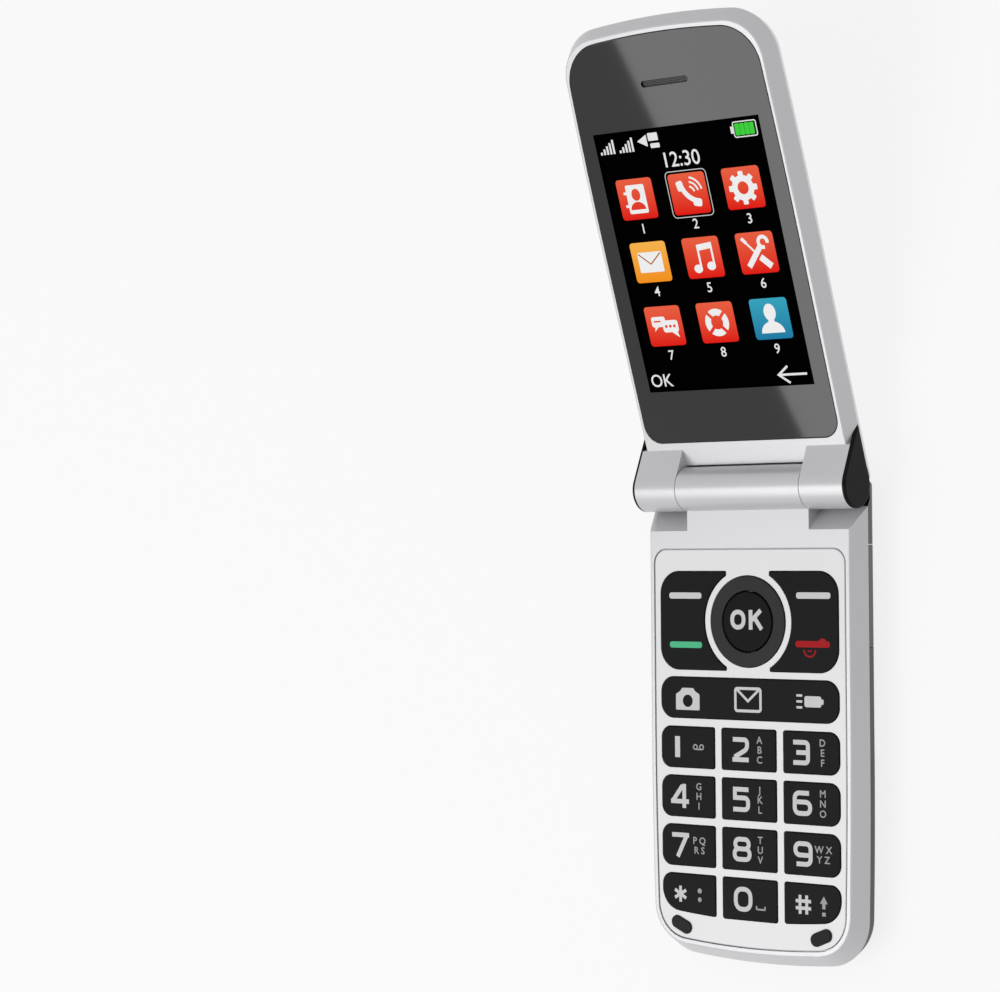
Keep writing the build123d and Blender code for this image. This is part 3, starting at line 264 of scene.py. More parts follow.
# Digits on a cell one wide and one high, which strokes may leave a little: the corner in mm, then each
# stroke's points and whether it closes.
DIGITS = {
    "0": (1.55, [([(0.1, 0), (1.24, 0), (1.24, 1), (0.1, 1)], True)]),
    "1": (0.0, [([(0.34, -0.08), (0.34, 1.08)], False)]),
    "2": (0.75, [([(-0.02, 1), (1.08, 1), (1.08, 0.54), (0.1, 0.12)], False),
                 ([(-0.06, 0), (1.2, 0)], False)]),
    "3": (0.75, [([(-0.16, 1), (0.95, 1), (0.95, 0), (-0.16, 0)], False),
                 ([(0.08, 0.5), (0.95, 0.5)], False)]),
    "4": (0.0, [([(0.86, -0.11), (0.86, 1.11)], False), ([(0.73, 1.02), (-0.1, 0.18)], False),
                ([(-0.2, 0.22), (1.23, 0.22)], False)]),
    "5": (0.9, [([(-0.04, 1), (1.16, 1)], False), ([(0.1, 1), (0.1, 0.58)], False),
                ([(-0.04, 0.58), (1.12, 0.58), (1.12, 0), (-0.04, 0)], False)]),
    "6": (1.1, [([(1.0, 1), (-0.08, 1), (-0.08, 0), (1.08, 0), (1.08, 0.56), (0.06, 0.56)], False)]),
    "7": (0.0, [([(-0.14, 1), (1.22, 1)], False), ([(1.03, 0.98), (0.3, -0.11)], False)]),
    "8": (1.0, [([(0.1, 0.52), (1.14, 0.52), (1.14, 1), (0.1, 1)], True),
                ([(0.04, 0), (1.2, 0), (1.2, 0.52), (0.04, 0.52)], True)]),
    "9": (1.1, [([(0.02, 0), (1.08, 0), (1.08, 1), (-0.06, 1), (-0.06, 0.44), (0.94, 0.44)], False)]),
}
DIAL_NODES = {name: "key_" + name for name in "1234567890"}
LETTERS = {"2": "A\nB\nC", "3": "D\nE\nF", "4": "G\nH\nI", "5": "J\nK\nL", "6": "M\nN\nO", "7": "P Q\nR S",
           "8": "T\nU\nV", "9": "W X\nY Z"}


def digit(name, width, height, stroke):
    """Strokes of a digit about its middle."""
    corner, runs = DIGITS[name]
    cell_w, cell_h = width - stroke, height - stroke
    return [
        line([((x - 0.5) * cell_w, (y - 0.5) * cell_h) for x, y in run], stroke, corner, closed)
        for run, closed in runs
    ]


# ---------------------------------------------------------------- finishes
class Value:
    """A socket that takes part in sums: each sign adds one Math node."""

    def __init__(self, finish, socket):
        self.finish = finish
        self.socket = socket

    def sum(self, operation, *values):
        return self.finish.node("Math", {"operation": operation}, dict(enumerate(values)))

    def __add__(self, other):
        return self.sum("ADD", self, other)

    __radd__ = __add__

    def __sub__(self, other):
        return self.sum("SUBTRACT", self, other)

    def __rsub__(self, other):
        return self.sum("SUBTRACT", other, self)

    def __mul__(self, other):
        return self.sum("MULTIPLY", self, other)

    __rmul__ = __mul__

    def __truediv__(self, other):
        return self.sum("DIVIDE", self, other)

    def above(self, other):
        return self.sum("GREATER_THAN", self, other)

    def below(self, other):
        return self.sum("LESS_THAN", self, other)

    def size(self):
        return self.sum("ABSOLUTE", self)

    def share(self):
        return self.sum("FRACT", self)


class Nodes:
    """Node tree of a material or of the world."""

    def __init__(self, owner):
        owner.use_nodes = True
        self.tree = owner.node_tree
        self.tree.nodes.clear()

    def set(self, node, values):
        """Links or sets sockets; an underscore in a key stands for a space."""
        for key, value in values.items():
            socket = node.inputs[key.replace("_", " ") if isinstance(key, str) else key]
            if isinstance(value, Value):
                self.tree.links.new(value.socket, socket)
            elif socket.type == "RGBA" and len(value) == 3:
                socket.default_value = (*value, 1)
            else:
                socket.default_value = value

    def node(self, kind, settings, inputs, output=0):
        """Adds a node of a type, with its settings and the values or links of its sockets."""
        node = self.tree.nodes.new("ShaderNode" + kind)
        for key, value in settings.items():
            setattr(node, key, value)
        self.set(node, inputs)
        return Value(self, node.outputs[output]) if node.outputs else None

    def seen(self):
        """1 for what the camera, gloss and glass see, 0 for plain light."""
        kinds = ("Camera", "Glossy", "Transmission")
        rays = [self.node("LightPath", {}, {}, f"Is {kind} Ray") for kind in kinds]
        return self.node("Clamp", {}, {0: rays[0] + rays[1] + rays[2]})


class Finish(Nodes):
    """A material, with the patterns that its finish is made of."""

    def __init__(self, name, **sockets):
        self.material = bpy.data.materials.new(name)
        super().__init__(self.material)
        self.shader = self.tree.nodes.new("ShaderNodeBsdfPrincipled")
        self.node("OutputMaterial", {}, {"Surface": Value(self, self.shader.outputs[0])})
        self.place = self.node("TexCoord", {}, {}, "Object")
        self.set(self.shader, sockets)

    def shade(self, **sockets):
        self.set(self.shader, sockets)

    def spots(self, scale, detail=2.0, stretch=(1, 1, 1), rough=0.5):
        """Noise of about scale spots in a metre, drawn out along an axis by a small stretch."""
        place = self.node("Mapping", {}, {"Vector": self.place, "Scale": stretch})
        noise = {"Vector": place, "Scale": scale, "Detail": detail, "Roughness": rough}
        return self.node("TexNoise", {}, noise)

    def axes(self):
        parts = self.tree.nodes.new("ShaderNodeSeparateXYZ")
        self.set(parts, {0: self.place})
        return [Value(self, socket) for socket in parts.outputs]

    def dot(self, direction, origin):
        """Distance along a direction from a point, in metres."""
        x, y, z = self.axes()
        return x * direction.x + y * direction.y + z * direction.z - origin.dot(direction)

    def blend(self, factor, first, second):
        return self.node("Mix", {"data_type": "RGBA"}, {0: factor, 6: first, 7: second}, 2)

    def relief(self, height, depth, strength=1.0):
        """Surface relief of a depth in mm."""
        return self.node("Bump", {}, {"Strength": strength, "Distance": depth * MM, "Height": height})


def tone(colour, gain):
    return tuple(min(1.0, channel * gain) for channel in colour)


def painted(name, colour, rough, metal=0.0, flake=0.06, peel=0.004, **sockets):
    """Sprayed or polished plastic: fine flake in the colour, orange peel in the surface."""
    finish = Finish(name, Metallic=metal, **sockets)
    fine = finish.spots(6500, 1.0)
    wide = finish.spots(28, 2.0)
    finish.shade(
        Base_Color=finish.blend(fine * 0.7 + wide * 0.3, tone(colour, 1 - flake), tone(colour, 1 + flake)),
        Roughness=rough + (wide - 0.5) * 0.08 + (fine - 0.5) * 0.05,
        Normal=finish.relief(finish.spots(900, 1.0), peel, 0.5),
    )
    return finish.material


def moulded(name, colour, rough=0.55, grain=1700, depth=0.02, spread=0.12, **sockets):
    """Moulded plastic or rubber with a spark-eroded grain."""
    finish = Finish(name, **sockets)
    fine = finish.spots(grain, 3.0, rough=0.65)
    wide = finish.spots(45, 2.0)
    finish.shade(
        Base_Color=finish.blend(fine * 0.6 + wide * 0.4, tone(colour, 1 - spread), tone(colour, 1 + spread)),
        Roughness=rough + (wide - 0.5) * 0.1 + (fine - 0.5) * 0.12,
        Normal=finish.relief(fine, depth, 0.7),
    )
    return finish.material


def brushed(name, colour, rough=0.3, stretch=(0.02, 1, 1), depth=0.004, spread=0.1):
    """Metal with fine lines along the axis of the small stretch."""
    finish = Finish(name, Metallic=1.0)
    lines = finish.spots(4200, 3.0, stretch, 0.7)
    bands = finish.spots(350, 1.0, stretch)
    finish.shade(
        Base_Color=finish.blend(
            lines * 0.75 + bands * 0.25, tone(colour, 1 - spread), tone(colour, 1 + spread)
        ),
        Roughness=rough + (lines - 0.5) * 0.18,
        Normal=finish.relief(lines, depth, 0.6),
    )
    return finish.material


def turned(name, colour, middle, rough=0.35, pitch=0.12, depth=0.004, **sockets):
    """Face with fine rings about a point."""
    finish = Finish(name, **sockets)
    x, y = finish.axes()[:2]
    x, y = x - middle.x, y - middle.y
    radius = finish.node("Math", {"operation": "SQRT"}, {0: x * x + y * y})
    rings = (radius / (pitch * MM)).share()
    rings = (rings - 0.5).size() * 2
    wide = finish.spots(60, 2.0)
    finish.shade(
        Base_Color=finish.blend(rings * 0.5 + wide * 0.5, tone(colour, 0.85), tone(colour, 1.15)),
        Roughness=rough + (wide - 0.5) * 0.1,
        Normal=finish.relief(rings, depth, 0.35),
    )
    return finish.material


def woven(name, colour, pitch, axes, **sockets):
    """Wire mesh: holes painted near-black as painted shade in the openings, between two sets of bright
    wires.
    """
    finish = Finish(name, **sockets)
    first, second = (finish.dot(axis, HINGE) / (pitch * MM) for axis in axes)
    # The holes get a painted shade: near-black colour where the openings would lie in shade.
    hole_shade = ((first.share() - 0.5).size() + (second.share() - 0.5).size()).below(0.42)
    finish.shade(
        Base_Color=finish.blend(hole_shade, colour, tone(colour, 0.05)),
        Roughness=0.35 + hole_shade * 0.4,
        Normal=finish.relief(1 - hole_shade, pitch / 5),
    )
    return finish.material


def printed(name, colour, rough=0.5, **sockets):
    """Ink with a faint screen-print grain."""
    finish = Finish(name, **sockets)
    fine = finish.spots(5200, 2.0)
    finish.shade(
        Base_Color=finish.blend(fine, tone(colour, 0.93), tone(colour, 1.05)),
        Roughness=rough + (fine - 0.5) * 0.1,
        Normal=finish.relief(fine, 0.003, 0.4),
    )
    return finish.material


def glowing(name):
    """Black face that gives off light."""
    return Finish(
        name, Base_Color=(0, 0, 0), Roughness=0.5, Specular_IOR_Level=0.0, Emission_Strength=1.0
    )


def lit(name, colour):
    """Light from the display, with its pixel rows."""
    finish = glowing(name)
    rows = (finish.dot(ALONG, HINGE) / (PIXEL * MM)).share().above(0.12)
    finish.shade(Emission_Color=finish.blend(rows, tone(colour, 0.86), colour))
    return finish.material


def tiled(name, high, low, settings):
    """Tile colour that runs from low to high within each row of tiles."""
    finish = glowing(name)
    height = finish.dot(ALONG, HINGE)
    share = None
    for row_top in ROW_TOPS:
        top = row_top * MM
        inside = height.above(top - settings.tile_height) * height.below(top + 0.5 * MM)
        part = inside * ((height - top + settings.tile_height) / settings.tile_height)
        share = part if share is None else share + part
    finish.shade(Emission_Color=finish.blend(finish.node("Clamp", {}, {0: share}), low, high))
    return finish.material


def window(settings):
    """Smoked lens: opaque border, clear over the display."""
    finish = Finish("smoked_lens", Base_Color=(0.0012, 0.0013, 0.003), Roughness=0.03, IOR=1.5)
    across = finish.dot(ACROSS, HINGE)
    along = finish.dot(ALONG, HINGE)
    middle = settings.screen_near + settings.screen_height / 2
    wide = across.size().below(settings.screen_width / 2)
    tall = (along - middle).size().below(settings.screen_height / 2)
    finish.shade(Alpha=1 - wide * tall)
    return finish.material


def display_glass():
    """Panel behind the lit pixels: black, with a faint dot grid."""
    finish = Finish("display_black", Roughness=0.6, Specular_IOR_Level=0.0)
    first, second = (
        (finish.dot(axis, HINGE) / (PIXEL * MM)).share().above(0.1) for axis in (ACROSS, ALONG)
    )
    finish.shade(Base_Color=finish.blend(first * second, (0.0004, 0.0004, 0.0005), (0.0008, 0.0008, 0.001)))
    return finish.material


def board(name):
    """Solder mask over copper tracks, with gold pads."""
    finish = Finish(name, Specular_IOR_Level=0.5)
    y = finish.axes()[1]
    place = finish.node("Mapping", {}, {"Vector": finish.place, "Scale": (1, 1, 0.01)})
    cells = finish.node("TexVoronoi", {"distance": "MANHATTAN"}, {"Vector": place, "Scale": 420})
    tracks = ((y / (1.1 * MM)).share() - 0.5).size().below(0.16)
    mask = finish.blend(tracks, (0.008, 0.065, 0.028), (0.016, 0.12, 0.05))
    pads = cells.below(0.14)
    finish.shade(
        Base_Color=finish.blend(pads, mask, (0.75, 0.55, 0.25)),
        Metallic=pads * 0.9,
        Roughness=0.35 + finish.spots(900) * 0.15,
        Normal=finish.relief(tracks + pads, 0.02, 0.5),
    )
    return finish.material


def film(name):
    """Polyimide film with copper tracks along it."""
    finish = Finish(name, Specular_IOR_Level=0.5)
    x = finish.axes()[0]
    tracks = ((x / (0.8 * MM)).share() - 0.5).size().below(0.22)
    wide = finish.spots(80)
    finish.shade(
        Base_Color=finish.blend(tracks, (0.45, 0.2, 0.03), (0.62, 0.3, 0.08)),
        Roughness=0.3 + wide * 0.15,
        Normal=finish.relief(tracks, 0.015, 0.6),
    )
    return finish.material


def domes(name):
    """Clear film that holds a bright steel dome under each key."""
    finish = Finish(name, Roughness=0.3)
    x, y = finish.axes()[:2]
    middle = centre("key_5")
    rows = ((y - middle.y) / (centre("key_2").y - middle.y) + 0.5).share() - 0.5
    columns = ((x - middle.x) / (middle.x - centre("key_1").x) + 0.5).share() - 0.5
    radius = finish.node("Math", {"operation": "SQRT"}, {0: rows * rows * 0.45 + columns * columns})
    dome = radius.below(0.17)
    finish.shade(
        Base_Color=finish.blend(dome, (0.55, 0.53, 0.47), (0.7, 0.7, 0.7)),
        Metallic=dome * 0.95,
        Roughness=0.3 + finish.spots(700) * 0.15,
        Normal=finish.relief(1 - radius * 3, 0.2, 0.5),
    )
    return finish.material


def wrapped_cell(name, colour):
    """Cell in a printed plastic sleeve with a seam band."""
    finish = Finish(name, Specular_IOR_Level=0.4)
    band = (finish.axes()[1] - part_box("battery")[1].y).size().below(7 * MM)
    wide = finish.spots(60, 3.0)
    colours = finish.blend(wide, tone(colour, 0.85), tone(colour, 1.2))
    finish.shade(
        Base_Color=finish.blend(band, colours, (0.35, 0.2, 0.02)),
        Roughness=0.35 + wide * 0.15,
        Normal=finish.relief(finish.spots(220, 2.0), 0.03, 0.4),
    )
    return finish.material


def dress(finish, *nodes):
    """Gives CAD nodes a finish in all their slots."""
    for name in nodes:
        slots = NODES[name].data.materials
        if not slots:
            slots.append(finish)
        for index in range(len(slots)):
            slots[index] = finish


# ---------------------------------------------------------------- settings
def shade_property(name, description, default):
    return FloatVectorProperty(
        name=name, description=description, subtype="COLOR", min=0, max=1, default=default
    )


def size_property(name, description, default):
    return FloatProperty(name=name, description=description, unit="LENGTH", precision=5, default=default)


class PhoneCase(bpy.types.PropertyGroup):
    """Colours of the case and keys"""

    silver: shade_property("Silver", "Paint on both frames", (0.6, 0.6, 0.617))
    plate: shade_property("Plate", "Pearl paint on the keypad plate", (0.8, 0.8, 0.81))
    lid: shade_property("Lid metal", "Brushed outer cover", (0.60, 0.60, 0.62))
    housing: shade_property("Housing", "Grey back housing", (0.075, 0.075, 0.078))
    cover: shade_property("Battery cover", "Dark back cover", (0.022, 0.022, 0.024))
    keys: shade_property("Keys", "Satin black key caps", (0.0032, 0.0032, 0.0034))
    ring: shade_property("Ring", "Four-way ring", (0.0115, 0.0115, 0.012))


class PhoneMarks(bpy.types.PropertyGroup):
    """Inks and sizes of the printed marks"""

    legend: shade_property("Legend", "Pale ink on the keys", (0.68, 0.68, 0.69))
    small: shade_property("Small legend", "Ink of the small letters", (0.36, 0.36, 0.37))
    call: shade_property("Call mark", "Green bar", (0.045, 0.52, 0.24))
    end: shade_property("End mark", "Red bar", (0.43, 0.004, 0.008))
    digit_width: size_property("Digit width", "Outer width of a digit", 4.4 * MM)
    digit_height: size_property("Digit height", "Outer height of a digit", 5.3 * MM)
    stroke: size_property("Stroke", "Stroke of a digit", 1.0 * MM)
    digit_shift: size_property("Digit shift", "Digit's middle left of the key's", 2.3 * MM)
    letter_shift: size_property("Letter shift", "Small letters' middle right of the key's", 2.9 * MM)
    letter_height: size_property("Letter height", "Height of a small letter", 1.55 * MM)


class PhoneScreen(bpy.types.PropertyGroup):
    """Lit area, tiles and their colours"""

    screen_width: size_property("Screen width", "Lit area across the lid", 43.2 * MM)
    screen_height: size_property("Screen height", "Lit area along the lid", 57.6 * MM)
    screen_near: size_property("Screen start", "Lit area's near edge from the hinge", 21.93 * MM)
    tile_width: size_property("Tile width", "Width of a menu tile", 9.5 * MM)
    tile_height: size_property("Tile height", "Height of a menu tile", 8.9 * MM)
    red_high: shade_property("Tile, top", "Top of a red tile", (0.80, 0.115, 0.055))
    red_low: shade_property("Tile, foot", "Foot of a red tile", (0.72, 0.012, 0.008))
    amber_high: shade_property("Amber, top", "Top of the messages tile", (0.91, 0.45, 0.075))
    amber_low: shade_property("Amber, foot", "Foot of the messages tile", (0.88, 0.27, 0.012))
    blue_high: shade_property("Blue, top", "Top of the profile tile", (0.04, 0.36, 0.50))
    blue_low: shade_property("Blue, foot", "Foot of the profile tile", (0.015, 0.19, 0.36))
    white: shade_property("White", "Pictograms and digits", (0.86, 0.86, 0.86))
    green: shade_property("Green", "Charge in the battery mark", (0.05, 0.62, 0.05))


class PhoneStudio(bpy.types.PropertyGroup):
    """Floor, lights and lens"""

    floor: shade_property("Floor", "Pale floor", (0.93, 0.93, 0.93))
    white: FloatProperty(
        name="Paper white", description="How far the seen floor is lifted to white",
        default=0.82, min=0, max=1,
    )
    room: FloatProperty(name="Room light", description="Even light from all round", default=0.5, min=0)
    card: FloatProperty(name="Card light", description="Brightness of the soft card", default=2.7, min=0)
    lens: FloatProperty(name="Lens", description="Focal length", unit="CAMERA", default=104.371)


# ---------------------------------------------------------------- operators
class PHONE_OT_case(bpy.types.Operator):
    """Paints the frames, plate, covers and hinge caps"""

    bl_idname = "phone.case"
    bl_label = "Case finishes"
    bl_options = {"REGISTER", "UNDO"}

    def execute(self, context):
        case = context.scene.phone_case
        dress(painted("silver_paint", case.silver, rough=0.3, metal=0.3), "base_frame", "lid_frame")
        pearl = painted("pearl_plate", case.plate, rough=0.38, metal=0.1, flake=0.02, peel=0.003)
        dress(pearl, "keypad_plate")
        dress(brushed("brushed_lid", case.lid), "lid_cover")
        dress(moulded("grey_housing", case.housing, rough=0.5), "rear_housing")
        dress(moulded("dark_cover", case.cover, rough=0.5, grain=1500, depth=0.03), "battery_cover")
        black = (0.0024, 0.0021, 0.0018)
        gloss = painted("gloss_black", black, rough=0.16, flake=0.1, peel=0.003, Specular_IOR_Level=0.1)
        dress(gloss, "hinge_caps", "camera_cover")
        return {"FINISHED"}


class PHONE_OT_keys(bpy.types.Operator):
    """Gives the keys, ring and rubber pads their surfaces"""

    bl_idname = "phone.keys"
    bl_label = "Key finishes"
    bl_options = {"REGISTER", "UNDO"}

    def execute(self, context):
        case = context.scene.phone_case
        caps = moulded(
            "satin_keys", case.keys, rough=0.42, grain=2600, depth=0.006, spread=0.1,
            Specular_IOR_Level=0.09,
        )
        dress(caps, *DIAL_NODES.values(), "key_star", "key_hash")
        dress(caps, "left_wing_key", "right_wing_key", "function_bar")
        dress(turned("turned_ring", case.ring, centre("nav_ring"), Specular_IOR_Level=0.18), "nav_ring")
        select = turned("select_key", case.keys, centre("ok_key"), rough=0.36, Specular_IOR_Level=0.07)
        dress(select, "ok_key")
        rubber = moulded("soft_pads", (0.014, 0.014, 0.015), rough=0.7, grain=2200, Specular_IOR_Level=0.2)
        dress(rubber, "rubber_pads")
        return {"FINISHED"}


class PHONE_OT_lens(bpy.types.Operator):
    """Smokes the lens, blackens the panel and meshes the earpiece"""

    bl_idname = "phone.lens"
    bl_label = "Lens and display"
    bl_options = {"REGISTER", "UNDO"}

    def execute(self, context):
        dress(window(context.scene.phone_screen), "lens")
        dress(display_glass(), "display_panel")
        mesh = woven("earpiece_wire", (0.05, 0.05, 0.052), pitch=0.35, axes=(ACROSS, ALONG), Metallic=0.8)
        dress(mesh, "earpiece_mesh")
        return {"FINISHED"}


class PHONE_OT_inside(bpy.types.Operator):
    """Gives the pieces inside the case their surfaces"""

    bl_idname = "phone.inside"
    bl_label = "Inner finishes"
    bl_options = {"REGISTER", "UNDO"}

    def execute(self, context):
        dress(board("solder_mask"), "main_board", "lid_board")
        dress(film("track_film"), "hinge_flex", "display_flex", "antenna")
        dress(domes("dome_film"), "dome_sheet")
        dress(wrapped_cell("cell_sleeve", (0.06, 0.07, 0.09)), "battery")
        silicone = moulded(
            "silicone_rubber", (0.62, 0.62, 0.6), rough=0.45, grain=1200, depth=0.01, spread=0.05,
            Subsurface_Weight=0.2,
        )
        dress(silicone, "keypad_mat", "nav_actuator", "function_actuator")
        black = moulded("moulded_black", (0.012, 0.012, 0.012), grain=1800, depth=0.015)
        dress(black, "camera_module", "battery_contacts", "loudspeaker", "earpiece")
        sheet = brushed("sheet_steel", (0.55, 0.55, 0.56), rough=0.32, stretch=(1, 0.03, 1))
        dress(sheet, "shield_can", "sim_holder", "vibration_motor")
        dress(sheet, "usb_socket", "microphone", "display_frame")
        steel = brushed("turned_steel", (0.42, 0.42, 0.43), rough=0.28, stretch=(1, 0.05, 0.05))
        dress(steel, "hinge_can", "hinge_shaft", "pivot_sleeve")
        screws = brushed("screw_steel", (0.32, 0.32, 0.33), rough=0.35, stretch=(1, 1, 0.05))
        dress(screws, "housing_screws", "lid_screws")
        nickel = brushed(
            "nickel_plate", (0.62, 0.6, 0.57), rough=0.15, stretch=(1, 1, 1), depth=0.002, spread=0.04
        )
        dress(nickel, "lid_magnet")
        glass = painted(
            "camera_glass", (0.02, 0.02, 0.03), rough=0.04, flake=0.05, peel=0.0,
            Alpha=0.45, Coat_Weight=0.6,
        )
        dress(glass, "camera_window")
        flash = moulded(
            "flash_lens", (0.85, 0.8, 0.45), rough=0.3, grain=900, depth=0.03, spread=0.05, Coat_Weight=0.4
        )
        dress(flash, "flash_led")
        return {"FINISHED"}


class PHONE_OT_digits(bpy.types.Operator):
    """Prints a digit, a star or a hash on each dial key"""

    bl_idname = "phone.digits"
    bl_label = "Dial digits"
    bl_options = {"REGISTER", "UNDO"}

    def execute(self, context):
        marks = context.scene.phone_marks
        ink = printed("legend_ink", marks.legend)
        width, height, stroke = (size / MM for size in (marks.digit_width, marks.digit_height, marks.stroke))
        for name, node in DIAL_NODES.items():
            parts = digit(name, width, height, ONE_STROKE if name == "1" else stroke)
            stamp(parts, "digit_" + name, node, dial_place(node, -marks.digit_shift), ink)
        tips = arc(0, 0, 1.75, math.pi / 2, math.pi * 5 / 2, 6)
        star = [line([(0, 0), tip], SIGN_STROKE) for tip in tips]
        stamp(star, "digit_star", "key_star", dial_place("key_star", -marks.digit_shift), ink)
        bars = [line([(x, -2.0), (x, 2.0)], SIGN_STROKE) for x in (-0.85, 0.85)]
        bars += [line([(-1.95, y), (1.95, y)], SIGN_STROKE) for y in (-0.75, 0.75)]
        stamp(bars, "digit_hash", "key_hash", dial_place("key_hash", -marks.digit_shift), ink)
        return {"FINISHED"}


def dial_place(node, shift):
    """Place on a dial key, measured from the middle of its column and row."""
    name = node.split("_")[1]
    row = "key_0" if name in ("star", "hash") else node
    column = "key_2"
    if name in ("1", "4", "7", "star"):
        column = "key_1"
    elif name in ("3", "6", "9", "hash"):
        column = "key_3"
    return Matrix.Translation((centre(column).x + shift, centre(row).y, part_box(node)[1].z))


class PHONE_OT_letters(bpy.types.Operator):
    """Prints the small letters and marks beside the digits"""

    bl_idname = "phone.letters"
    bl_label = "Small letters"
    bl_options = {"REGISTER", "UNDO"}

    def execute(self, context):
        marks = context.scene.phone_marks
        ink = printed("small_ink", marks.small)
        tall = marks.letter_height / MM
        for name, letters in LETTERS.items():
            parts = [words(letters, 0, 0, tall, 0.035, spacing=0.98)]
            node = DIAL_NODES[name]
            stamp(parts, "letters_" + name, node, dial_place(node, marks.letter_shift), ink)
        extras = {
            "key_1": [ring(-0.85, 0.1, 0.5, FINE_STROKE), ring(0.85, 0.1, 0.5, FINE_STROKE),
                      line([(-0.9, -0.4), (0.9, -0.4)], FINE_STROKE)],
            "key_0": [line([(-1.1, -1.2), (-1.1, -1.9), (1.1, -1.9), (1.1, -1.2)], 0.36, 0.1)],
            "key_star": [disc(0, 0.95, 0.55), disc(0, -0.95, 0.5)],
            "key_hash": [slab([(-1.0, 0.5), (1.0, 0.5), (0, 2.1)], 0.1), block(0, 0.0, 0.8, 1.2),
                         block(0, -1.7, 0.9, 0.8)],
        }
        for node, parts in extras.items():
            stamp(parts, "marks_" + node[4:], node, dial_place(node, marks.letter_shift), ink)
        return {"FINISHED"}


class PHONE_OT_select_marks(bpy.types.Operator):
    """Prints the select letters and the bars on the wing keys"""

    bl_idname = "phone.select_marks"
    bl_label = "Select and call marks"
    bl_options = {"REGISTER", "UNDO"}

    def execute(self, context):
        marks = context.scene.phone_marks
        ink = printed("wing_ink", marks.legend)
        middle = centre("ok_key")
        place = Matrix.Translation((middle.x, middle.y + 0.4 * MM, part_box("ok_key")[1].z))
        loop = [(-3.95, -1.65), (-0.95, -1.65), (-0.95, 1.65), (-3.95, 1.65)]
        strokes = ([(0.9, -2.12), (0.9, 2.12)], [(3.55, 2.05), (1.2, -0.1)], [(1.95, 0.4), (3.75, -2.05)])
        letters = [line(loop, SELECT_STROKE, 1.4, True)] + [line(ends, SELECT_STROKE) for ends in strokes]
        stamp(letters, "select_letters", "ok_key", place, ink)
        green = printed("call_ink", marks.call)
        red = printed("end_ink", marks.end, Specular_IOR_Level=0.15)
        dull_red = printed("hook_ink", tone(marks.end, 0.8), Specular_IOR_Level=0.15)
        bars = (
            ("left_wing_key", "menu_bar_left", -16.52, -23.2, ink),
            ("right_wing_key", "menu_bar_right", 17.13, -23.05, ink),
            ("left_wing_key", "call_bar", -16.47, -33.9, green),
            ("right_wing_key", "end_bar", 16.88, -33.3, red),
        )
        for node, name, x, y, finish in bars:
            parts = [block(x, y, *BAR)]
            if name == "end_bar":
                parts.append(disc(x + 2.5, y + 0.5, 1.0, tall=0.75))
            stamp(parts, name, node, KEYPAD, finish)
        x, y = 16.15, -34.5
        hook = [line(arc(x, y, 1.45, math.pi, 2 * math.pi, 10), 0.42), block(x, y - 0.25, 1.1, 0.3)]
        stamp(hook, "end_hook", "right_wing_key", KEYPAD, dull_red)
        return {"FINISHED"}


class PHONE_OT_icons(bpy.types.Operator):
    """Prints the camera, envelope and torch on the wide key"""

    bl_idname = "phone.icons"
    bl_label = "Wide key icons"
    bl_options = {"REGISTER", "UNDO"}

    def execute(self, context):
        ink = printed("icon_ink", context.scene.phone_marks.legend)
        x, y = -16.1, -45.75
        outline = [(-3.2, -2.35), (3.2, -2.35), (3.2, 1.1), (2.0, 1.75), (1.5, 2.45), (-1.5, 2.45),
                   (-2.0, 1.75), (-3.2, 1.1)]
        camera = carve(slab(moved(outline, x, y), 0.25), disc(x, y - 0.35, 1.35, 1.0))
        stamp([camera], "camera_mark", "function_bar", KEYPAD, ink)
        x, y = 0.0, -45.45
        sheet = moved([(-3.3, -2.4), (3.3, -2.4), (3.3, 2.4), (-3.3, 2.4)], x, y)
        flap = moved([(-2.9, 2.2), (0, -0.3), (2.9, 2.2)], x, y)
        envelope = [line(sheet, 0.62, 0.5, True), line(flap, 0.55)]
        stamp(envelope, "envelope_mark", "function_bar", KEYPAD, ink)
        x, y = 16.9, -45.4
        torch = [block(x - 0.1, y, 4.3, 2.35, 0.5), block(x + 2.25, y, 0.7, 1.1, 0.2)]
        torch += [block(x - 3.55, y + row, 1.5, 0.5, 0.12) for row in (-1.25, 0, 1.25)]
        stamp(torch, "torch_mark", "function_bar", KEYPAD, ink)
        return {"FINISHED"}


def shown(parts, name, finish, level=0):
    """Lays a menu graphic on the panel, a level above the one under it."""
    return lay(parts, name, "lid", PANEL, finish, level * GRAPHIC_STEP)


def tile_middle(row, column, settings):
    return COLUMNS[column], ROW_TOPS[row] - settings.tile_height / MM / 2


class PHONE_OT_tiles(bpy.types.Operator):
    """Lays the nine coloured tiles and the frame of the chosen one"""

    bl_idname = "phone.tiles"
    bl_label = "Menu tiles"
    bl_options = {"REGISTER", "UNDO"}

    def execute(self, context):
        screen = context.scene.phone_screen
        red = tiled("tile_red", screen.red_high, screen.red_low, screen)
        amber = tiled("tile_amber", screen.amber_high, screen.amber_low, screen)
        blue = tiled("tile_blue", screen.blue_high, screen.blue_low, screen)
        for row in range(3):
            for column in range(3):
                finish = {(1, 0): amber, (2, 2): blue}.get((row, column), red)
                x, y = tile_middle(row, column, screen)
                tile = block(x, y, screen.tile_width / MM, screen.tile_height / MM, 0.75, GRAPHIC_STEP)
                shown([tile], f"tile_{row * 3 + column + 1}", finish)
        x, y = tile_middle(0, 1, screen)
        wide, tall = screen.tile_width / MM / 2 + 0.55, screen.tile_height / MM / 2 + 0.55
        corners = moved([(-wide, -tall), (wide, -tall), (wide, tall), (-wide, tall)], x, y)
        border = line(corners, 0.18, 1.0, True, GRAPHIC_STEP)
        shown([border], "chosen_frame", lit("lit_frame", tone(screen.white, 0.7)))
        return {"FINISHED"}


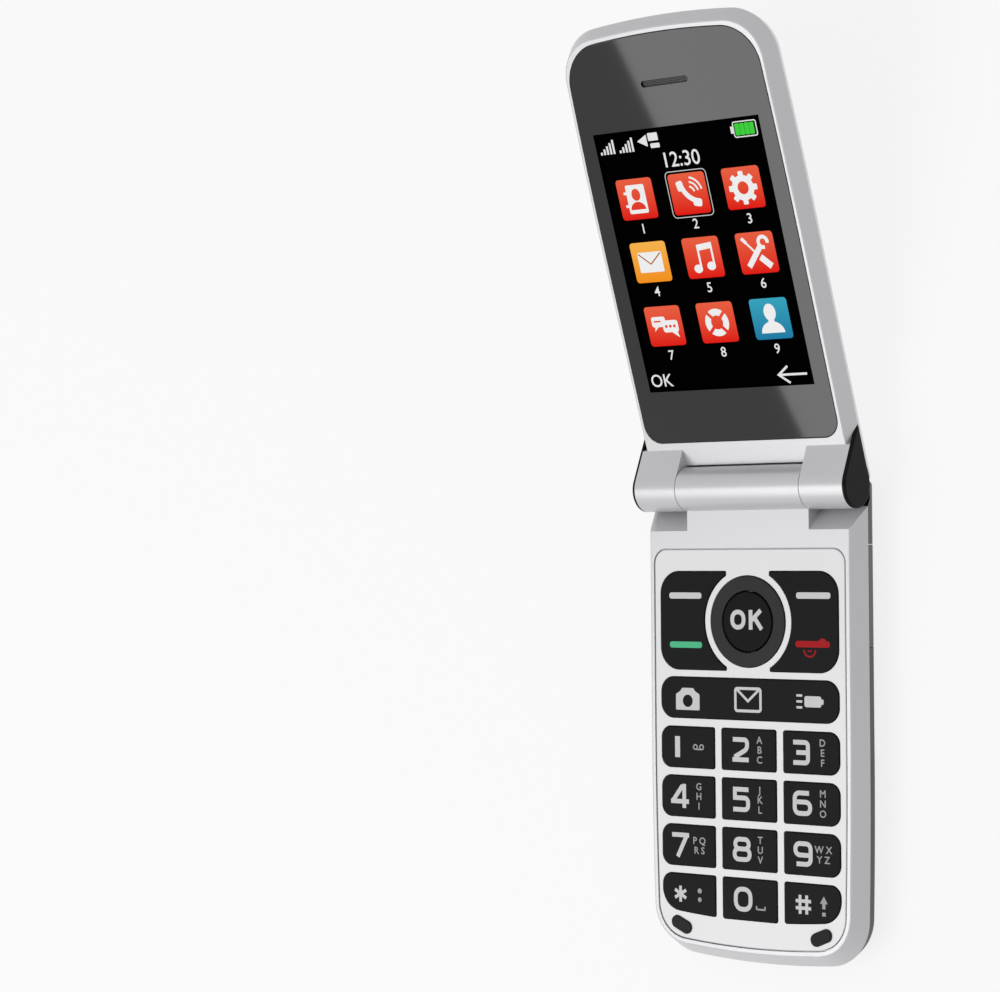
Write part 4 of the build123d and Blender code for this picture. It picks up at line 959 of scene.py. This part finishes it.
class PHONE_OT_pictograms(bpy.types.Operator):
    """Draws a pictogram on each tile and a digit under it"""

    bl_idname = "phone.pictograms"
    bl_label = "Menu pictograms"
    bl_options = {"REGISTER", "UNDO"}

    def execute(self, context):
        screen = context.scene.phone_screen
        white = lit("lit_white", screen.white)
        label = lit("lit_label", tone(screen.white, 0.92))
        red = tiled("mark_red", screen.red_high, screen.red_low, screen)
        amber = lit("mark_amber", tone(screen.amber_low, 0.45))
        spots = [tile_middle(row, column, screen) for row in range(3) for column in range(3)]
        rise = GRAPHIC_STEP
        pi = math.pi

        x, y = spots[0]
        card = [block(x, y, 5.0, 6.3, 0.4, rise)]
        card += [block(x - 2.85, y + side * 1.4, 0.7, 0.6, 0.1, rise) for side in (1, -1)]
        shown(card, "card_sheet", white, 1)
        owner = [disc(x, y + 0.95, 1.15, rise, 1.15), slab(arc(x, y - 2.3, 2.0, 0, pi, 14, 0.85), 0, rise)]
        shown(owner, "card_person", red, 2)

        x, y = spots[1]
        bend = arc(x + 3.1, y + 3.1, 5.0, pi * 1.04, pi * 1.46, 12)
        handset = [line(bend, 1.15, rise=rise), block(x - 2.0, y + 1.75, 2.2, 1.75, 0.5, rise, pi * 0.56),
                   block(x + 1.75, y - 2.0, 2.2, 1.75, 0.5, rise, -pi * 0.06)]
        waves = [arc(x + 0.1, y + 0.1, radius, pi * 0.06, pi * 0.44, 8) for radius in (1.4, 2.4, 3.4)]
        shown(handset + [line(hole_shade, 0.42, rise=rise) for hole_shade in waves], "handset_mark", white, 1)

        x, y = spots[2]
        gear = [ring(x, y, 2.05, 1.35, rise)]
        for tooth in range(8):
            turn = tooth * pi / 4
            out, up = 3.0 * math.cos(turn), 3.0 * math.sin(turn)
            gear.append(block(x + out, y + up, 1.1, 1.25, 0.2, rise, turn))
        shown(gear, "gear_mark", white, 1)

        x, y = spots[3]
        shown([block(x, y, 6.4, 4.5, 0.3, rise)], "envelope_sheet", white, 1)
        fold = line([(x - 3.0, y + 1.95), (x, y - 0.45), (x + 3.0, y + 1.95)], 0.28, 0.1, rise=rise)
        shown([fold], "envelope_fold", amber, 2)

        x, y = spots[4]
        note = [disc(x - 1.75, y - 2.35, 1.1, rise, 0.85), disc(x + 1.75, y - 1.95, 1.1, rise, 0.85),
                line([(x - 0.95, y - 2.3), (x - 0.95, y + 2.6)], 0.5, rise=rise),
                line([(x + 2.55, y - 1.9), (x + 2.55, y + 3.0)], 0.5, rise=rise),
                slab(moved([(-1.2, 1.5), (2.8, 1.95), (2.8, 3.25), (-1.2, 2.85)], x, y), 0, rise)]
        shown(note, "note_mark", white, 1)

        x, y = spots[5]
        tools = [line([(x - 2.6, y - 2.9), (x + 1.2, y + 1.4)], 1.25, rise=rise),
                 line(arc(x + 2.0, y + 2.2, 1.15, -pi * 0.08, pi * 1.58, 12), 0.8, rise=rise),
                 line([(x - 3.0, y + 3.0), (x + 0.2, y - 0.5)], 0.45, rise=rise),
                 block(x - 2.75, y + 2.75, 1.5, 0.75, 0.1, rise, -pi * 0.26),
                 line([(x + 0.7, y - 0.95), (x + 3.1, y - 3.1)], 1.45, rise=rise)]
        shown(tools, "tools_mark", white, 1)

        x, y = spots[6]
        bubbles = [block(x - 1.5, y + 1.0, 3.7, 2.3, 0.5, rise),
                   slab(moved([(-2.6, 0.1), (-1.4, 0.1), (-2.9, -1.1)], x, y), 0, rise),
                   block(x + 1.5, y - 0.1, 4.1, 2.7, 0.6, rise),
                   slab(moved([(1.3, -1.2), (3.0, -1.2), (3.4, -2.7)], x, y), 0, rise)]
        shown(bubbles, "speech_mark", white, 1)
        talk = [disc(x + 0.35 + 1.1 * dot, y - 0.1, 0.34, rise) for dot in range(3)]
        talk.append(line([(x - 2.7, y + 1.1), (x - 0.9, y + 1.1)], 0.35, rise=rise))
        shown(talk, "speech_dots", red, 2)

        x, y = spots[7]
        shown([ring(x, y, 2.3, 1.5, rise)], "lifebuoy_mark", white, 1)
        bands = [block(x + 2.3 * math.cos(a), y + 2.3 * math.sin(a), 1.6, 0.75, 0, rise, a)
                 for a in (pi / 4, pi * 3 / 4, pi * 5 / 4, pi * 7 / 4)]
        shown(bands, "lifebuoy_bands", red, 2)

        x, y = spots[8]
        person = [disc(x, y + 1.4, 1.5, rise, 1.25), slab(arc(x, y - 3.1, 2.95, 0, pi, 16, 0.85), 0, rise),
                  block(x, y - 0.55, 1.5, 1.4, 0.1, rise)]
        shown(person, "person_mark", white, 1)

        for index, (x, y) in enumerate(spots):
            below = y - screen.tile_height / MM / 2 - 2.2
            shown([words(str(index + 1), x, below, 2.2, 0.02, rise)], f"label_{index + 1}", label)
        return {"FINISHED"}


class PHONE_OT_status(bpy.types.Operator):
    """Draws the status line, the clock and the two soft labels"""

    bl_idname = "phone.status"
    bl_label = "Status and labels"
    bl_options = {"REGISTER", "UNDO"}

    def execute(self, context):
        screen = context.scene.phone_screen
        white = lit("lit_status", tone(screen.white, 0.9))
        rise = GRAPHIC_STEP
        bars = []
        for left in (-21.15, -16.05):
            for bar in range(5):
                tall = 0.6 + bar * 0.62
                bars.append(block(left + bar * 0.85, 74.8 + tall / 2, 0.5, tall, 0.05, rise))
        shown(bars, "signal_bars", white)
        link = [slab([(-11.2, 76.8), (-8.6, 78.1), (-8.6, 75.5)], 0.1, rise),
                block(-6.9, 77.5, 2.6, 1.7, 0.2, rise), block(-6.7, 75.6, 2.4, 1.0, 0.2, rise)]
        shown(link, "link_mark", white)
        cells = [block(14.95 + 1.22 * cell, 76.8, 1.14, 2.5, 0.2, rise) for cell in range(4)]
        shown(cells, "charge_fill", lit("lit_green", screen.green))
        case = line([(14.0, 75.2), (19.75, 75.2), (19.75, 78.4), (14.0, 78.4)], 0.24, 0.4, True, rise)
        shown([case, block(13.55, 76.8, 0.6, 1.5, 0.1, rise)], "charge_frame", white)
        shown([words("12:30", -0.9, 72.05, 3.3, 0.03, rise)], "clock", white)
        shown([words("OK", -18.7, 24.05, 2.9, 0.02, rise)], "soft_label_left", white)
        arrow = ([(14.9, 25.9), (12.3, 24.05), (14.9, 22.2)], [(12.6, 24.05), (19.5, 24.05)])
        shown([line(points, 0.5, rise=rise) for points in arrow], "soft_label_right", white)
        return {"FINISHED"}


class PHONE_OT_cell_marks(bpy.types.Operator):
    """Prints the plus and minus signs on the battery"""

    bl_idname = "phone.cell_marks"
    bl_label = "Battery signs"
    bl_options = {"REGISTER", "UNDO"}

    def execute(self, context):
        low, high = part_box("battery")
        ink = printed("cell_ink", (0.55, 0.55, 0.55))
        flip = Matrix.Rotation(math.pi, 4, "Y")
        place = Matrix.Translation(((low.x + high.x) / 2, high.y - 4 * MM, low.z)) @ flip
        plus_and_minus = ([(-8.5, 0), (-5.5, 0)], [(-7, -1.5), (-7, 1.5)], [(5.5, 0), (8.5, 0)])
        signs = [line(ends, 0.6) for ends in plus_and_minus]
        lay(signs, "cell_signs", "base", place, ink, -PRINT_SINK)
        return {"FINISHED"}


class PHONE_OT_studio(bpy.types.Operator):
    """Sets up the floor, the lights and the camera"""

    bl_idname = "phone.studio"
    bl_label = "Studio"
    bl_options = {"REGISTER", "UNDO"}

    def execute(self, context):
        scene = context.scene
        studio = scene.phone_studio
        clear()
        bpy.ops.mesh.primitive_grid_add(
            x_subdivisions=FLOOR_CELLS, y_subdivisions=FLOOR_CELLS, size=FLOOR_SIZE,
            location=(0, 0, -FLOOR_GAP),
        )
        floor = bpy.context.object
        floor.name = "studio_floor"
        finish = Finish("floor_paper", Specular_IOR_Level=0.1)
        grain = finish.spots(300, 2.0)
        finish.shade(
            Base_Color=finish.blend(grain, tone(studio.floor, 0.99), tone(studio.floor, 1.01)),
            Roughness=0.7 + grain * 0.1,
        )
        white = finish.node("Emission", {}, {"Color": (1, 1, 1), "Strength": 1.0})
        paper = Value(finish, finish.shader.outputs[0])
        paper = finish.node("MixShader", {}, {0: finish.seen() * studio.white, 1: paper, 2: white})
        below = finish.node("NewGeometry", {}, {}, "Backfacing")
        clear_paper = finish.node("BsdfTransparent", {}, {})
        paper = finish.node("MixShader", {}, {0: below, 1: paper, 2: clear_paper})
        finish.node("OutputMaterial", {"is_active_output": True}, {"Surface": paper})
        floor.data.materials.append(finish.material)

        world = bpy.data.worlds.new("studio_room")
        scene.world = world
        room = Nodes(world)
        level = studio.room + room.seen() * (1 - studio.room)
        light = room.node("Background", {}, {"Color": (1, 1, 1), "Strength": level})
        room.node("OutputWorld", {}, {"Surface": light})

        inward = CARD_TOWARD.cross(CARD_EDGE)
        clear()
        bpy.ops.object.light_add(type="AREA", location=CARD_CORNER + inward * CARD_WIDTH / 2)
        card = bpy.context.object
        card.name = "soft_card"
        card.rotation_euler = Matrix((-inward, CARD_EDGE, CARD_TOWARD)).transposed().to_euler()
        card.data.shape = "RECTANGLE"
        card.data.size, card.data.size_y = CARD_WIDTH, CARD_LENGTH
        card.data.energy = studio.card * math.pi * CARD_WIDTH * CARD_LENGTH

        roll, tilt, pan = (Matrix.Rotation(angle, 3, axis) for angle, axis in CAMERA_TURNS)
        view = roll @ tilt @ pan
        bpy.ops.object.camera_add(location=CAMERA_PLACE, rotation=view.transposed().to_euler())
        camera = bpy.context.object
        camera.name = "studio_camera"
        camera.data.lens = studio.lens
        camera.data.sensor_width = SENSOR_WIDTH
        camera.data.clip_start = 0.01
        scene.camera = camera
        scene.view_settings.view_transform = "Standard"
        return {"FINISHED"}


OPERATORS = (
    PHONE_OT_case, PHONE_OT_keys, PHONE_OT_lens, PHONE_OT_inside, PHONE_OT_digits, PHONE_OT_letters,
    PHONE_OT_select_marks, PHONE_OT_icons, PHONE_OT_tiles, PHONE_OT_pictograms, PHONE_OT_status,
    PHONE_OT_cell_marks, PHONE_OT_studio,
)
GROUPS = {
    "phone_case": PhoneCase,
    "phone_marks": PhoneMarks,
    "phone_screen": PhoneScreen,
    "phone_studio": PhoneStudio,
}


class PHONE_PT_panel(bpy.types.Panel):
    """Lists the steps and their settings"""

    bl_idname = "PHONE_PT_panel"
    bl_label = "Flip phone"
    bl_space_type = "VIEW_3D"
    bl_region_type = "UI"
    bl_category = "Flip phone"

    def draw(self, context):
        for operator in OPERATORS:
            self.layout.operator(operator.bl_idname)
        for group in GROUPS:
            settings = getattr(context.scene, group)
            box = self.layout.box()
            for name in settings.bl_rna.properties.keys():
                if name not in ("rna_type", "name"):
                    box.prop(settings, name)


CLASSES = (*GROUPS.values(), *OPERATORS, PHONE_PT_panel)


def register():
    for cls in CLASSES:
        bpy.utils.register_class(cls)
    for name, group in GROUPS.items():
        setattr(bpy.types.Scene, name, PointerProperty(type=group))


def unregister():
    for name in GROUPS:
        delattr(bpy.types.Scene, name)
    for cls in reversed(CLASSES):
        bpy.utils.unregister_class(cls)


def main():
    register()
    for operator in OPERATORS:
        group, name = operator.bl_idname.split(".")
        getattr(getattr(bpy.ops, group), name)()


if __name__ == "__main__":
    main()
